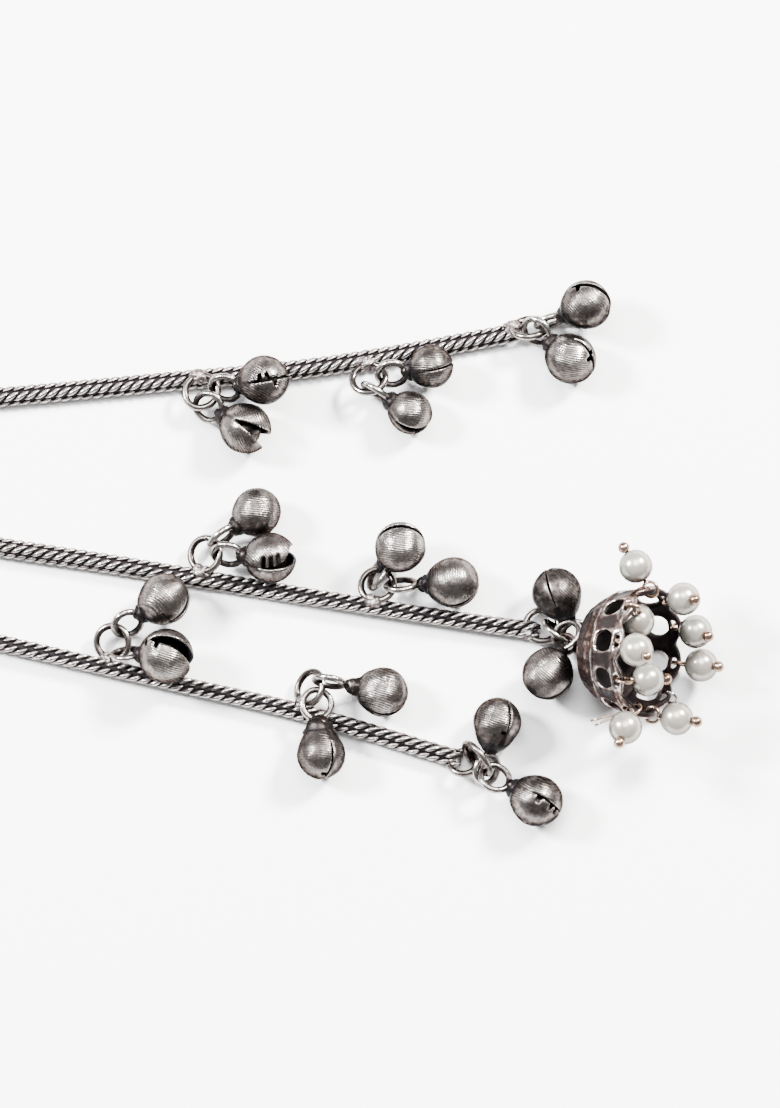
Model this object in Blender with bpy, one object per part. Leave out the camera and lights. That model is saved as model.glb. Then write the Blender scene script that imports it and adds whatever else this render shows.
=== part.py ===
# One long drop earring, laid flat: a hook, a gathering ring, three woven chain strands with
# small slit bells in pairs, and a pierced dome with pearls at the end of the middle strand.
# Lengths are in millimetres while the part is modelled, and finish() turns them to metres.
# The strands run along +X from the gathering ring at the drawing's origin, and +Z is up.

import math

import bmesh
import bpy
from mathutils import Matrix, Vector
from mathutils.geometry import interpolate_bezier

METRES = 0.001

# Play between pieces that hang in each other, and under pieces that rest
EYE_SLACK = 0.45
REST_PLAY = 0.05

# Strands of woven chain
CHAIN_WIDTH = 2.4
CHAIN_STEP_WIDTHS = 2.6

# Rings soldered to the strands, the solder that holds them, and plain link rings
SIDE_RING_RADIUS = 2.0
SIDE_RING_WIRE = 0.32
SOLDER_RADIUS = 0.85
SOLDER_SHARE = 0.25
LINK_RADIUS = 2.0
LINK_WIRE = 0.3

# Bells: hollow shell with a slit, a neck bead and a wire loop
BELL_RADIUS = 3.0
BELL_WALL = 0.4
BELL_SEAT = 0.2
SLIT_WIDTH = 0.4
SLIT_REACH = 105.0
NECK_RADIUS = 0.95
NECK_SEAT = 0.25
NECK_STRETCH = 0.85
LOOP_RADIUS = 1.75
LOOP_WIRE = 0.29

# Gathering ring and ear hook
TOP_RING_RADIUS = 3.6
TOP_RING_WIRE = 0.5
STRAND_EYE_RADIUS = 1.5
HOOK_WIRE = 0.45
HOOK_EYE_RADIUS = 1.9
HOOK_SHANK = 8.0
HOOK_BEND_RADIUS = 5.0
HOOK_LEG = 13.0
HOOK_FLARE = 2.2
HOOK_STEP = 2.2
SHANK_HALF_DOWN = 0.35
SHANK_DOWN = 0.7
LEG_STRAIGHT = 0.55

# Pierced dome
DOME_RADIUS = 7.8
DOME_DEPTH = 9.3
DOME_WALL = 0.7
LOBES = 10
SCALLOP = 0.9
STRIP_SHARE = 0.048
EYE_SHARE = 0.172
EYE_WIDTH = 1.25
PETAL_FOOT = 0.8
PETAL_WAIST = 2.6
PETAL_HEAD = 1.8
SCALLOP_SHARES = (1.0, 0.35, 0.0, 0.35)
VALLEY_SHARES = {1: 0.8, 2: 0.3}
CAP_WALL_SHARE = 0.7
SHOULDER_WALL_SHARE = 0.4
CROWN_BEAD_RADIUS = 0.95
CROWN_SEAT = 0.63
CROWN_LOOP_RADIUS = 1.25
CROWN_LOOP_SEAT = 0.79
CROWN_LOOP_WIRE = 0.3
DOME_HEADING = -11.5
DOME_PITCH = 27.6
DOME_FIRST_LOBE = 23.5

# Pearls on ball-headed pins
PEARL_RADIUS = 2.0
PEARL_BORE = 0.42
PEARL_PLAY = 0.1
PIN_WIRE = 0.2
PIN_HANG = 0.2
PIN_LOOP_RADIUS = 0.95
PIN_HEAD_RADIUS = 0.68
HEAD_SEAT = 0.78
OPEN_RING_GAP = 50.0

# Facets
RING_SIDES = 12
TOP_RING_SIDES = 16
PIN_LOOP_SIDES = 8
WIRE_SIDES = 5
ROD_SIDES = 6
TUBE_RESOLUTION = 2
ROUTE_STEPS = 16
HOOK_BEND_POINTS = 9
BEAD_SIDES = 8
CROWN_BEAD_SIDES = 10
BEAD_ROWS = 5
SMALL_BEAD_ROWS = 4
BELL_SIDES = 12
BELL_OUTER_STEPS = (0.34, 0.67)
BELL_INNER_STEPS = (0.52,)
PEARL_SIDES = 10
PEARL_ROWS = 5
LOBE_COLUMNS = 4
MERGE_DISTANCE = 0.0005
SHARP_ANGLE = 50.0

X = Vector((1.0, 0.0, 0.0))
Y = Vector((0.0, 1.0, 0.0))
Z = Vector((0.0, 0.0, 1.0))

# Chosen points of the strands, in mm from the gathering ring, as (x, y); the first point of
# each strand is worked out from the gathering ring.
STRAND_ROUTES = {
    "strand_top": [
        (30.0, 5.9), (62.6, 8.7), (80.0, 10.35), (98.0, 12.1), (109.0, 13.8), (123.3, 16.5),
    ],
    "strand_middle": [
        (30.0, -4.7), (62.6, -9.9), (76.4, -12.05), (98.0, -15.7), (119.6, -19.1), (125.8, -19.95),
    ],
    "strand_bottom": [
        (25.0, -11.3), (45.0, -17.4), (62.6, -21.65), (84.8, -26.8), (98.0, -29.9), (116.4, -35.5),
    ],
}
GATHER_ANGLES = {"strand_top": 42.0, "strand_middle": -4.0, "strand_bottom": -50.0}

# Where each pair of bells hangs. "at" is the share of the strand's length from its free end.
# "off" is the ring's centre from the strand, along it, to its left and up, as shares of the
# ring's reach, and "facing" is the heading and pitch of the ring's axis. A "link" is a further
# ring, hung in the first, with its centre given from it. Each bell's loop is placed from the
# ring that carries it, as shares of their reach, and then come the heading and pitch from the
# loop to the bell, the loop's roll, shares of the neck and of the size, and the turn of the slit
# with its share.
HANGERS = [
    {
        "name": "top_1_", "strand": "strand_top", "at": 0.315, "off": (0.0, -0.59, 0.41),
        "facing": (-30, 97), "size": 1.0, "dome": None, "link": None,
        "bells": [
            {"off": (0.76, 0.08, 0.17), "aim": (6, 24), "roll": -46,
             "neck": 0.0, "size": 1.0, "slit": (70, 1.0)},
            {"off": (0.24, -0.5, -0.02), "aim": (-32, 7), "roll": 140,
             "neck": 0.0, "size": 1.03, "slit": (80, 1.6)},
        ],
    },
    {
        "name": "top_2_", "strand": "strand_top", "at": 0.148, "off": (0.0, -0.84, 0.45),
        "facing": (125, 69), "size": 1.0, "dome": None, "link": None,
        "bells": [
            {"off": (0.73, 0.11, 0.2), "aim": (9, 7), "roll": -54,
             "neck": 0.0, "size": 0.88, "slit": (45, 1.0)},
            {"off": (0.22, -0.46, 0.09), "aim": (-31, -4), "roll": -92,
             "neck": 0.0, "size": 0.88, "slit": (25, 1.0)},
        ],
    },
    {
        "name": "top_3_", "strand": "strand_top", "at": 0.0, "off": (0.73, -0.02, 0.43),
        "facing": (97, 46), "size": 1.0, "dome": None, "link": None,
        "bells": [
            {"off": (0.23, -0.17, 0.21), "aim": (-39, -3), "roll": -55,
             "neck": 0.0, "size": 1.02, "slit": (-35, 1.0)},
            {"off": (0.66, 0.26, -0.14), "aim": (18, 30), "roll": -86,
             "neck": 0.0, "size": 1.0, "slit": (-60, 1.2)},
        ],
    },
    {
        "name": "middle_1_", "strand": "strand_middle", "at": 0.329, "off": (0.0, 0.89, 0.3),
        "facing": (184, 62), "size": 1.0, "dome": None, "link": None,
        "bells": [
            {"off": (0.54, 0.53, 0.21), "aim": (36, 2), "roll": -82,
             "neck": 0.0, "size": 0.97, "slit": (100, 1.0)},
            {"off": (0.72, -0.07, 0.31), "aim": (-7, 10), "roll": -60,
             "neck": 0.0, "size": 1.03, "slit": (25, 2.0)},
        ],
    },
    {
        "name": "middle_2_", "strand": "strand_middle", "at": 0.157, "off": (0.0, 0.8, 0.2),
        "facing": (118, 78), "size": 1.0, "dome": None, "link": None,
        "bells": [
            {"off": (0.02, 0.33, 0.07), "aim": (46, 36), "roll": 55,
             "neck": -0.53, "size": 1.02, "slit": (20, 1.0)},
            {"off": (0.76, -0.02, 0.12), "aim": (1, 8), "roll": 58,
             "neck": 1.09, "size": 1.03, "slit": (100, 1.2)},
        ],
    },
    {
        "name": "middle_3_", "strand": "strand_middle", "at": 0.0, "off": (0.35, 0.22, -0.04),
        "facing": (114, 83), "size": 1.0, "dome": (0.255, -0.483, 0.148),
        "link": {"name": "drop_ring", "off": (0.46, -0.27, 0.28), "facing": (49, 20), "size": 1.0},
        "bells": [
            {"off": (0.6, -0.08, -0.16), "aim": (116, 22), "roll": 10,
             "neck": 0.69, "size": 1.0, "slit": (60, 1.0)},
            {"off": (0.26, -0.19, 0.52), "aim": (-115, 1), "roll": -36,
             "neck": -0.08, "size": 1.03, "slit": (60, 1.0)},
        ],
    },
    {
        "name": "bottom_1_", "strand": "strand_bottom", "at": 0.366, "off": (0.0, 0.94, 0.19),
        "facing": (222, 70), "size": 1.0, "dome": None, "link": None,
        "bells": [
            {"off": (0.48, 0.55, 0.3), "aim": (33, 9), "roll": 127,
             "neck": 0.0, "size": 1.03, "slit": (25, 2.0)},
            {"off": (0.45, -0.42, 0.24), "aim": (-9, 28), "roll": -124,
             "neck": 0.0, "size": 1.1, "slit": (25, 2.2)},
        ],
    },
    {
        "name": "bottom_2_", "strand": "strand_bottom", "at": 0.16, "off": (0.0, 0.9, 0.35),
        "facing": (171, 49), "size": 1.0, "dome": None, "link": None,
        "bells": [
            {"off": (0.62, 0.14, 0.33), "aim": (-10, -5), "roll": -84,
             "neck": 1.37, "size": 1.0, "slit": (-60, 1.2)},
            {"off": (0.22, -0.56, 0.16), "aim": (-85, 1), "roll": 3,
             "neck": 1.06, "size": 0.98, "slit": (65, 1.0)},
        ],
    },
    {
        "name": "bottom_3_", "strand": "strand_bottom", "at": 0.0, "off": (0.41, -0.06, 0.05),
        "facing": (106, 61), "size": 0.875, "dome": None,
        "link": {"name": "link_ring", "off": (0.4, 0.03, 0.44), "facing": (40, -10), "size": 1.1},
        "bells": [
            {"off": (0.29, -0.26, -0.34), "aim": (77, 12), "roll": -45,
             "neck": 0.69, "size": 0.97, "slit": (60, 1.0)},
            {"off": (0.54, -0.6, 0.03), "aim": (-29, -1), "roll": 27,
             "neck": 0.45, "size": 1.03, "slit": (70, 1.0)},
        ],
    },
]

# Heading and pitch of each pin from its eye in the rim, lobe by lobe; one lobe holds an open
# wire ring and no pearl.
PINS = [
    {"lobe": 0, "aim": (123, 10)},
    {"lobe": 1, "aim": (-24, 58)},
    {"lobe": 2, "aim": (-34, 49)},
    {"lobe": 3, "aim": (-14, 39)},
    {"lobe": 4, "aim": None},
    {"lobe": 5, "aim": (-14, 24)},
    {"lobe": 6, "aim": (-110, 33)},
    {"lobe": 7, "aim": (8, -29)},
    {"lobe": 8, "aim": (-45, 51)},
    {"lobe": 9, "aim": (-59, -71)},
]

FINISHES = {
    "chain silver": {"color": (0.33, 0.31, 0.30), "metallic": 1.0, "roughness": 0.35},
    "bell silver": {"color": (0.36, 0.34, 0.32), "metallic": 0.9, "roughness": 0.38},
    "bright silver": {"color": (0.70, 0.67, 0.64), "metallic": 1.0, "roughness": 0.25},
    "dark silver": {"color": (0.20, 0.17, 0.155), "metallic": 0.85, "roughness": 0.45},
    "pearl white": {"color": (0.88, 0.86, 0.82), "metallic": 0.0, "roughness": 0.25},
    "pin gold": {"color": (0.72, 0.58, 0.47), "metallic": 0.9, "roughness": 0.3},
}


def direction(heading, pitch):
    # Unit vector at a heading from +X and a pitch above the floor, in degrees
    h = math.radians(heading)
    p = math.radians(pitch)
    return Vector((math.cos(p) * math.cos(h), math.cos(p) * math.sin(h), math.sin(p)))


def rolled_normal(heading, pitch, roll):
    # The vector square to a direction, turned by roll about it from the upright one
    side = Vector((-math.sin(math.radians(heading)), math.cos(math.radians(heading)), 0.0))
    up = direction(heading, pitch).cross(side)
    r = math.radians(roll)
    return math.cos(r) * up + math.sin(r) * side


def placed(origin, z_axis, x_axis):
    # Matrix that puts a piece at an origin with its own Z and X along the given vectors
    z = z_axis.normalized()
    x = (x_axis - z * x_axis.dot(z)).normalized()
    y = z.cross(x)
    turn = Matrix((x, y, z)).transposed().to_4x4()
    return Matrix.Translation(origin) @ turn


def any_square(axis):
    # Some vector square to an axis
    helper = Z if abs(axis.z) < 0.9 else X
    return axis.cross(helper).normalized()


def mesh_from(bm, name):
    bmesh.ops.remove_doubles(bm, verts=bm.verts, dist=MERGE_DISTANCE)
    bmesh.ops.recalc_face_normals(bm, faces=bm.faces)
    mesh = bpy.data.meshes.new(name)
    bm.to_mesh(mesh)
    bm.free()
    return mesh


def band(bm, ring_a, ring_b, skip=()):
    # Faces between two rings of points, apart from the skipped columns
    count = len(ring_a)
    for j in range(count):
        if j in skip:
            continue
        k = (j + 1) % count
        bm.faces.new((ring_a[j], ring_a[k], ring_b[k], ring_b[j]))


def fan(bm, ring, tip):
    count = len(ring)
    for j in range(count):
        bm.faces.new((ring[j], ring[(j + 1) % count], tip))


def wire_ring(radius, wire, centre, axis, sides=RING_SIDES, start=None):
    # A ring of round wire, its sides half inside and half outside the true circle; start points
    # to the middle of one of its sides
    bm = bmesh.new()
    stretch = 2 / (1 + math.cos(math.pi / sides))
    matrix = placed(centre, axis, start or any_square(axis))
    rings = []
    for i in range(sides):
        a = 2 * math.pi * (i + 0.5) / sides
        section = []
        for j in range(WIRE_SIDES):
            b = 2 * math.pi * j / WIRE_SIDES
            reach = radius * stretch + wire * math.cos(b)
            point = Vector((reach * math.cos(a), reach * math.sin(a), wire * math.sin(b)))
            section.append(bm.verts.new(matrix @ point))
        rings.append(section)
    for i in range(sides):
        band(bm, rings[i], rings[(i + 1) % sides])
    return mesh_from(bm, "wire_ring")


def bead(radius, centre, axis, sides=BEAD_SIDES, rows=BEAD_ROWS):
    # A round bead with its poles on an axis
    bm = bmesh.new()
    bmesh.ops.create_uvsphere(
        bm, u_segments=sides, v_segments=rows, radius=radius, matrix=placed(centre, axis, any_square(axis))
    )
    return mesh_from(bm, "bead")


def rod(radius, start, end):
    # A straight round rod with flat ends
    bm = bmesh.new()
    axis = end - start
    matrix = placed((start + end) / 2, axis, any_square(axis))
    bmesh.ops.create_cone(
        bm, cap_ends=True, segments=ROD_SIDES, radius1=radius, radius2=radius,
        depth=axis.length, matrix=matrix,
    )
    return mesh_from(bm, "rod")


def tube(points, radius, name):
    # A round tube along points, as a bevelled curve with filled ends
    curve = bpy.data.curves.new(name, "CURVE")
    curve.dimensions = "3D"
    curve.bevel_depth = radius
    curve.bevel_resolution = TUBE_RESOLUTION
    curve.use_fill_caps = True
    spline = curve.splines.new("POLY")
    spline.points.add(len(points) - 1)
    for item, point in zip(spline.points, points):
        item.co = (point.x, point.y, point.z, 1.0)
    holder = bpy.data.objects.new(name, curve)
    bpy.context.scene.collection.objects.link(holder)
    evaluated = holder.evaluated_get(bpy.context.evaluated_depsgraph_get())
    bm = bmesh.new()
    bm.from_mesh(evaluated.to_mesh())
    bpy.data.objects.remove(holder)
    bpy.data.curves.remove(curve)
    return mesh_from(bm, name)


def smooth_route(points):
    # Close points along a smooth curve through the chosen ones
    last = len(points) - 1
    headings = []
    for i in range(last + 1):
        headings.append((points[min(i + 1, last)] - points[max(i - 1, 0)]).normalized())
    dense = [points[0]]
    for i in range(last):
        third = (points[i + 1] - points[i]).length / 3
        handle_a = points[i] + headings[i] * third
        handle_b = points[i + 1] - headings[i + 1] * third
        dense += interpolate_bezier(points[i], handle_a, handle_b, points[i + 1], ROUTE_STEPS)[1:]
    return dense


def route_length(path):
    return sum((path[i + 1] - path[i]).length for i in range(len(path) - 1))


def point_along(path, distance):
    # Point and direction at a distance along a path
    for i in range(len(path) - 1):
        step = path[i + 1] - path[i]
        if distance <= step.length or i == len(path) - 2:
            return path[i] + step.normalized() * distance, step.normalized()
        distance -= step.length


def even_points(path, step):
    length = route_length(path)
    count = max(2, round(length / step))
    return [point_along(path, length * i / count)[0] for i in range(count + 1)]


def material(name, look):
    mat = bpy.data.materials.new(name)
    mat.use_nodes = True
    shader = mat.node_tree.nodes["Principled BSDF"]
    shader.inputs["Base Color"].default_value = (*look["color"], 1.0)
    shader.inputs["Metallic"].default_value = look["metallic"]
    shader.inputs["Roughness"].default_value = look["roughness"]
    return mat


def finish(name, meshes, look):
    # Fuses the meshes of a piece into one solid, in metres, and gives it its own material
    body = bpy.data.objects.new(name, meshes[0])
    bpy.context.scene.collection.objects.link(body)
    tools = []
    for mesh in meshes[1:]:
        tool = bpy.data.objects.new(name + "_piece", mesh)
        tool.hide_render = True
        tool.display_type = "WIRE"
        bpy.context.scene.collection.objects.link(tool)
        union = body.modifiers.new("fuse", "BOOLEAN")
        union.operation = "UNION"
        union.solver = "EXACT"
        union.object = tool
        tools.append(tool)
    if tools:
        evaluated = body.evaluated_get(bpy.context.evaluated_depsgraph_get())
        fused = bpy.data.meshes.new_from_object(evaluated)
        body.modifiers.clear()
        body.data = fused
    for tool in tools:
        bpy.data.objects.remove(tool)
    body.data.name = name
    body.data.transform(Matrix.Scale(METRES, 4))
    body.data.shade_smooth()
    body.data.set_sharp_from_angle(angle=math.radians(SHARP_ANGLE))
    body.data.materials.clear()
    body.data.materials.append(material(name, FINISHES[look]))
    body.parent = drawing


def bell_shell(radius, wall, slit, matrix):
    # A hollow ball about its own X, open along a slit centred on -Z, away from its neck
    bm = bmesh.new()
    reach = math.radians(SLIT_REACH)
    open_columns = max(2, round(BELL_SIDES * SLIT_REACH / 180))
    shut_columns = max(3, BELL_SIDES - open_columns)
    turns = [math.pi - reach + 2 * reach * i / open_columns for i in range(open_columns)]
    turns += [math.pi + reach + (2 * math.pi - 2 * reach) * i / shut_columns for i in range(shut_columns)]
    slit_columns = set(range(open_columns))

    def ring(size, polar):
        points = []
        for turn in turns:
            around = size * math.sin(polar)
            point = Vector((size * math.cos(polar), around * math.sin(turn), around * math.cos(turn)))
            points.append(bm.verts.new(matrix @ point))
        return points

    edges = []
    for size, steps in ((radius, BELL_OUTER_STEPS), (radius - wall, BELL_INNER_STEPS)):
        lip = math.pi / 2 - math.asin(slit / 2 / size)
        near = [ring(size, lip * step) for step in steps] + [ring(size, lip)]
        far = [ring(size, math.pi - lip * step) for step in steps] + [ring(size, math.pi - lip)]
        for side, pole in ((near, 1), (far, -1)):
            fan(bm, side[0], bm.verts.new(matrix @ Vector((pole * size, 0.0, 0.0))))
            for i in range(len(side) - 1):
                band(bm, side[i], side[i + 1])
        band(bm, near[-1], far[-1], slit_columns)
        edges.append((near[-1], far[-1]))
    (near_out, far_out), (near_in, far_in) = edges
    for j in slit_columns:
        bm.faces.new((near_out[j], near_out[j + 1], near_in[j + 1], near_in[j]))
        bm.faces.new((far_out[j], far_out[j + 1], far_in[j + 1], far_in[j]))
    for j in (0, open_columns):
        bm.faces.new((near_out[j], far_out[j], far_in[j], near_in[j]))
    return mesh_from(bm, "bell_shell")


def make_bell(name, row, ring_centre, loop_reach):
    # A bell hung by its loop from the ring that carries it
    loop_centre = ring_centre + Vector(row["off"]) * loop_reach
    heading, pitch = row["aim"]
    aim = direction(heading, pitch)
    neck = loop_centre + aim * (LOOP_RADIUS + NECK_SEAT + min(row["neck"] * NECK_RADIUS, NECK_STRETCH))
    radius = BELL_RADIUS * row["size"]
    shank = max(0.0, row["neck"] * NECK_RADIUS - NECK_STRETCH)
    centre = neck + aim * (radius + BELL_SEAT + shank)
    turn, width = row["slit"]
    matrix = placed(centre, -aim, rolled_normal(heading, pitch, turn))
    loop_axis = rolled_normal(heading, pitch, row["roll"])
    meshes = [
        bell_shell(radius, BELL_WALL, SLIT_WIDTH * width, matrix),
        bead(NECK_RADIUS, neck, aim, BEAD_SIDES, SMALL_BEAD_ROWS),
        wire_ring(LOOP_RADIUS, LOOP_WIRE, loop_centre, loop_axis, RING_SIDES, aim),
    ]
    finish(name, meshes, "bell silver")


def make_strand(name, points, hangers):
    # A strand: its tube, the eye on the gathering ring, its soldered rings and the solder
    gather = direction(GATHER_ANGLES[name], 0.0)
    eye_centre = gather * (TOP_RING_RADIUS + EYE_SLACK)
    eye_centre.z = STRAND_EYE_RADIUS + SIDE_RING_WIRE + REST_PLAY
    start = gather * (TOP_RING_RADIUS + EYE_SLACK + STRAND_EYE_RADIUS)
    chosen = [Vector((start.x, start.y, CHAIN_WIDTH / 2))]
    chosen += [Vector((x, y, CHAIN_WIDTH / 2)) for x, y in points]
    route = smooth_route(chosen)
    length = route_length(route)
    meshes = [tube(even_points(route, CHAIN_STEP_WIDTHS * CHAIN_WIDTH), CHAIN_WIDTH / 2, name)]
    square = gather.cross(Z)
    meshes.append(wire_ring(STRAND_EYE_RADIUS, SIDE_RING_WIRE, eye_centre, square, RING_SIDES, gather))
    meshes.append(bead(SOLDER_RADIUS, eye_centre + gather * STRAND_EYE_RADIUS, gather))
    for row in hangers:
        radius = SIDE_RING_RADIUS * row["size"]
        on_strand, along = point_along(route, length * (1.0 - row["at"]))
        left = Z.cross(along)
        off = row["off"]
        reach = SIDE_RING_RADIUS + CHAIN_WIDTH / 2
        centre = on_strand + (along * off[0] + left * off[1] + Z * off[2]) * reach
        axis = direction(*row["facing"])
        to_strand = on_strand - centre
        to_strand -= axis * to_strand.dot(axis)
        touch = centre + to_strand.normalized() * radius
        meshes.append(wire_ring(radius, SIDE_RING_WIRE, centre, axis, RING_SIDES, to_strand.normalized()))
        meshes.append(bead(SOLDER_RADIUS, touch.lerp(on_strand, SOLDER_SHARE), along))
        carrier = centre
        carrier_radius = radius
        if row["link"]:
            link = row["link"]
            carrier_radius = LINK_RADIUS * link["size"]
            carrier = centre + Vector(link["off"]) * (radius + carrier_radius)
            ring = wire_ring(carrier_radius, LINK_WIRE, carrier, direction(*link["facing"]), RING_SIDES)
            finish(link["name"], [ring], "bright silver")
        if row["dome"]:
            make_dome(carrier + Vector(row["dome"]) * (carrier_radius + CROWN_LOOP_RADIUS))
        for letter, bell in zip("ab", row["bells"]):
            make_bell("bell_" + row["name"] + letter, bell, carrier, carrier_radius + LOOP_RADIUS)
    finish(name, meshes, "chain silver")


def dome_outline():
    # Depth from the mouth and radius of the dome's bands, from its rim to its crown
    shares = (
        ("rim", 0.0, 1.0),
        ("strip", STRIP_SHARE, 1.0),
        ("eye", EYE_SHARE, 0.995),
        ("petal foot", 0.22, 0.985),
        ("petal waist", 0.31, 0.955),
        ("petal head", 0.39, 0.925),
        ("ridge", 0.44, 0.93),
        ("shoulder", 0.69, 0.76),
        ("cap", 0.89, 0.44),
    )
    return [(depth * DOME_DEPTH, radius * DOME_RADIUS) for name, depth, radius in shares]


def dome_grid(bm, matrix, outline, inset):
    # Rings of points round the dome; the columns beside a lobe's middle close in on its holes
    columns = LOBES * LOBE_COLUMNS
    lobe = 2 * math.pi / LOBES
    half_widths = (None, EYE_WIDTH / 2, EYE_WIDTH / 2, PETAL_FOOT / 2, PETAL_WAIST / 2, PETAL_HEAD / 2)
    rings = []
    for row, (depth, radius) in enumerate(outline):
        size = radius - inset
        ring = []
        for column in range(columns):
            place = column % LOBE_COLUMNS
            turn = math.radians(DOME_FIRST_LOBE) + lobe * (column - 2) / LOBE_COLUMNS
            drop = depth
            if row == 0:
                drop += SCALLOP * SCALLOP_SHARES[place]
            if row in VALLEY_SHARES and place == 0:
                drop += SCALLOP * VALLEY_SHARES[row]
            if 0 < row < len(half_widths) and place in (1, 3):
                sign = -1.0 if place == 1 else 1.0
                turn = math.radians(DOME_FIRST_LOBE) + lobe * (column - place) / LOBE_COLUMNS
                turn += sign * half_widths[row] / radius
            point = Vector((size * math.cos(turn), size * math.sin(turn), -drop))
            ring.append(bm.verts.new(matrix @ point))
        rings.append(ring)
    return rings


def make_dome(crown_loop):
    # The pierced dome hung by its crown loop, then its pearls
    axis = direction(DOME_HEADING, DOME_PITCH)
    crown_reach = DOME_DEPTH + CROWN_BEAD_RADIUS * CROWN_SEAT
    loop_reach = crown_reach + CROWN_BEAD_RADIUS * CROWN_LOOP_SEAT + CROWN_LOOP_RADIUS
    mouth = crown_loop + axis * loop_reach
    side = Vector((-math.sin(math.radians(DOME_HEADING)), math.cos(math.radians(DOME_HEADING)), 0.0))
    matrix = placed(mouth, axis, side)
    bm = bmesh.new()
    outline = dome_outline()
    outer = dome_grid(bm, matrix, outline, 0.0)
    inner_outline = list(outline)
    inner_outline[-1] = (outline[-1][0] - DOME_WALL * CAP_WALL_SHARE, outline[-1][1])
    inner_outline[-2] = (outline[-2][0] - DOME_WALL * SHOULDER_WALL_SHARE, outline[-2][1])
    inner = dome_grid(bm, matrix, inner_outline, DOME_WALL)
    columns = len(outer[0])
    eye = {c for c in range(columns) if c % LOBE_COLUMNS in (1, 2)}
    holes = {1: eye, 3: eye, 4: eye}
    for row in range(len(outline) - 1):
        band(bm, outer[row], outer[row + 1], holes.get(row, ()))
        band(bm, inner[row], inner[row + 1], holes.get(row, ()))
    fan(bm, outer[-1], bm.verts.new(matrix @ Vector((0.0, 0.0, -DOME_DEPTH))))
    fan(bm, inner[-1], bm.verts.new(matrix @ Vector((0.0, 0.0, -DOME_DEPTH + DOME_WALL))))
    band(bm, outer[0], inner[0])
    for first_row, last_row in ((1, 2), (3, 5)):
        for lobe in range(LOBES):
            c = lobe * LOBE_COLUMNS
            left, middle, right = c + 1, c + 2, c + 3
            path = [(first_row, left), (first_row, middle), (first_row, right)]
            path += [(r, right) for r in range(first_row + 1, last_row)]
            path += [(last_row, right), (last_row, middle), (last_row, left)]
            path += [(r, left) for r in range(last_row - 1, first_row, -1)]
            for (r0, c0), (r1, c1) in zip(path, path[1:] + path[:1]):
                bm.faces.new((outer[r0][c0], outer[r1][c1], inner[r1][c1], inner[r0][c0]))
    meshes = [
        mesh_from(bm, "dome"),
        bead(CROWN_BEAD_RADIUS, mouth - axis * crown_reach, axis, CROWN_BEAD_SIDES),
        wire_ring(CROWN_LOOP_RADIUS, CROWN_LOOP_WIRE, crown_loop, axis.cross(side), RING_SIDES, axis),
    ]
    finish("dome", meshes, "dark silver")
    for row in PINS:
        turn = math.radians(DOME_FIRST_LOBE) - 2 * math.pi * row["lobe"] / LOBES
        spoke = DOME_RADIUS - DOME_WALL / 2
        strip_depth = STRIP_SHARE * DOME_DEPTH / 2
        strip = matrix @ Vector((spoke * math.cos(turn), spoke * math.sin(turn), -strip_depth))
        rim_tangent = matrix.to_3x3() @ Vector((-math.sin(turn), math.cos(turn), 0.0))
        if row["aim"]:
            make_pearl(row["lobe"], strip, rim_tangent, direction(*row["aim"]))
        else:
            make_open_ring(strip, rim_tangent, axis)


def make_pearl(number, strip, rim_tangent, aim):
    # A ball-headed pin looped through an eye of the rim, and the drilled pearl on it; the loop
    # stands as square to the rim as its pin lets it
    loop_centre = strip + aim * PIN_HANG
    loop_axis = (rim_tangent - aim * rim_tangent.dot(aim)).normalized()
    stem_start = loop_centre + aim * PIN_LOOP_RADIUS
    pearl_centre = stem_start + aim * (PIN_WIRE + PEARL_PLAY + PEARL_RADIUS)
    head_centre = pearl_centre + aim * (PEARL_RADIUS + PEARL_PLAY + PIN_HEAD_RADIUS * HEAD_SEAT)
    meshes = [
        wire_ring(PIN_LOOP_RADIUS, PIN_WIRE, loop_centre, loop_axis, PIN_LOOP_SIDES, aim),
        rod(PIN_WIRE, stem_start, head_centre),
        bead(PIN_HEAD_RADIUS, head_centre, aim, BEAD_SIDES, SMALL_BEAD_ROWS),
    ]
    finish("head_pin_" + str(number), meshes, "pin gold")

    bm = bmesh.new()
    matrix = placed(pearl_centre, aim, any_square(aim))
    mouth_angle = math.asin(PEARL_BORE / PEARL_RADIUS)
    rings = []
    for i in range(PEARL_ROWS + 1):
        polar = mouth_angle + (math.pi - 2 * mouth_angle) * i / PEARL_ROWS
        ring = []
        for j in range(PEARL_SIDES):
            a = 2 * math.pi * j / PEARL_SIDES
            point = Vector((math.sin(polar) * math.cos(a), math.sin(polar) * math.sin(a), math.cos(polar)))
            ring.append(bm.verts.new(matrix @ (point * PEARL_RADIUS)))
        rings.append(ring)
    for i in range(PEARL_ROWS + 1):
        band(bm, rings[i], rings[(i + 1) % (PEARL_ROWS + 1)])
    finish("pearl_" + str(number), [mesh_from(bm, "pearl")], "pearl white")


def make_open_ring(strip, loop_axis, dome_axis):
    # A wire ring with no pearl, its ends left apart
    bm = bmesh.new()
    matrix = placed(strip + dome_axis * PIN_HANG, loop_axis, dome_axis)
    rings = []
    gap = math.radians(OPEN_RING_GAP)
    for i in range(PEARL_SIDES):
        a = gap / 2 + (2 * math.pi - gap) * i / (PEARL_SIDES - 1)
        section = []
        for j in range(WIRE_SIDES):
            b = 2 * math.pi * j / WIRE_SIDES
            reach = PIN_LOOP_RADIUS + PIN_WIRE * math.cos(b)
            point = Vector((reach * math.cos(a), reach * math.sin(a), PIN_WIRE * math.sin(b)))
            section.append(bm.verts.new(matrix @ point))
        rings.append(section)
    for i in range(PEARL_SIDES - 1):
        band(bm, rings[i], rings[i + 1])
    bm.faces.new(rings[0])
    bm.faces.new(rings[-1])
    finish("open_ring", [mesh_from(bm, "open_ring")], "bright silver")


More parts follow.
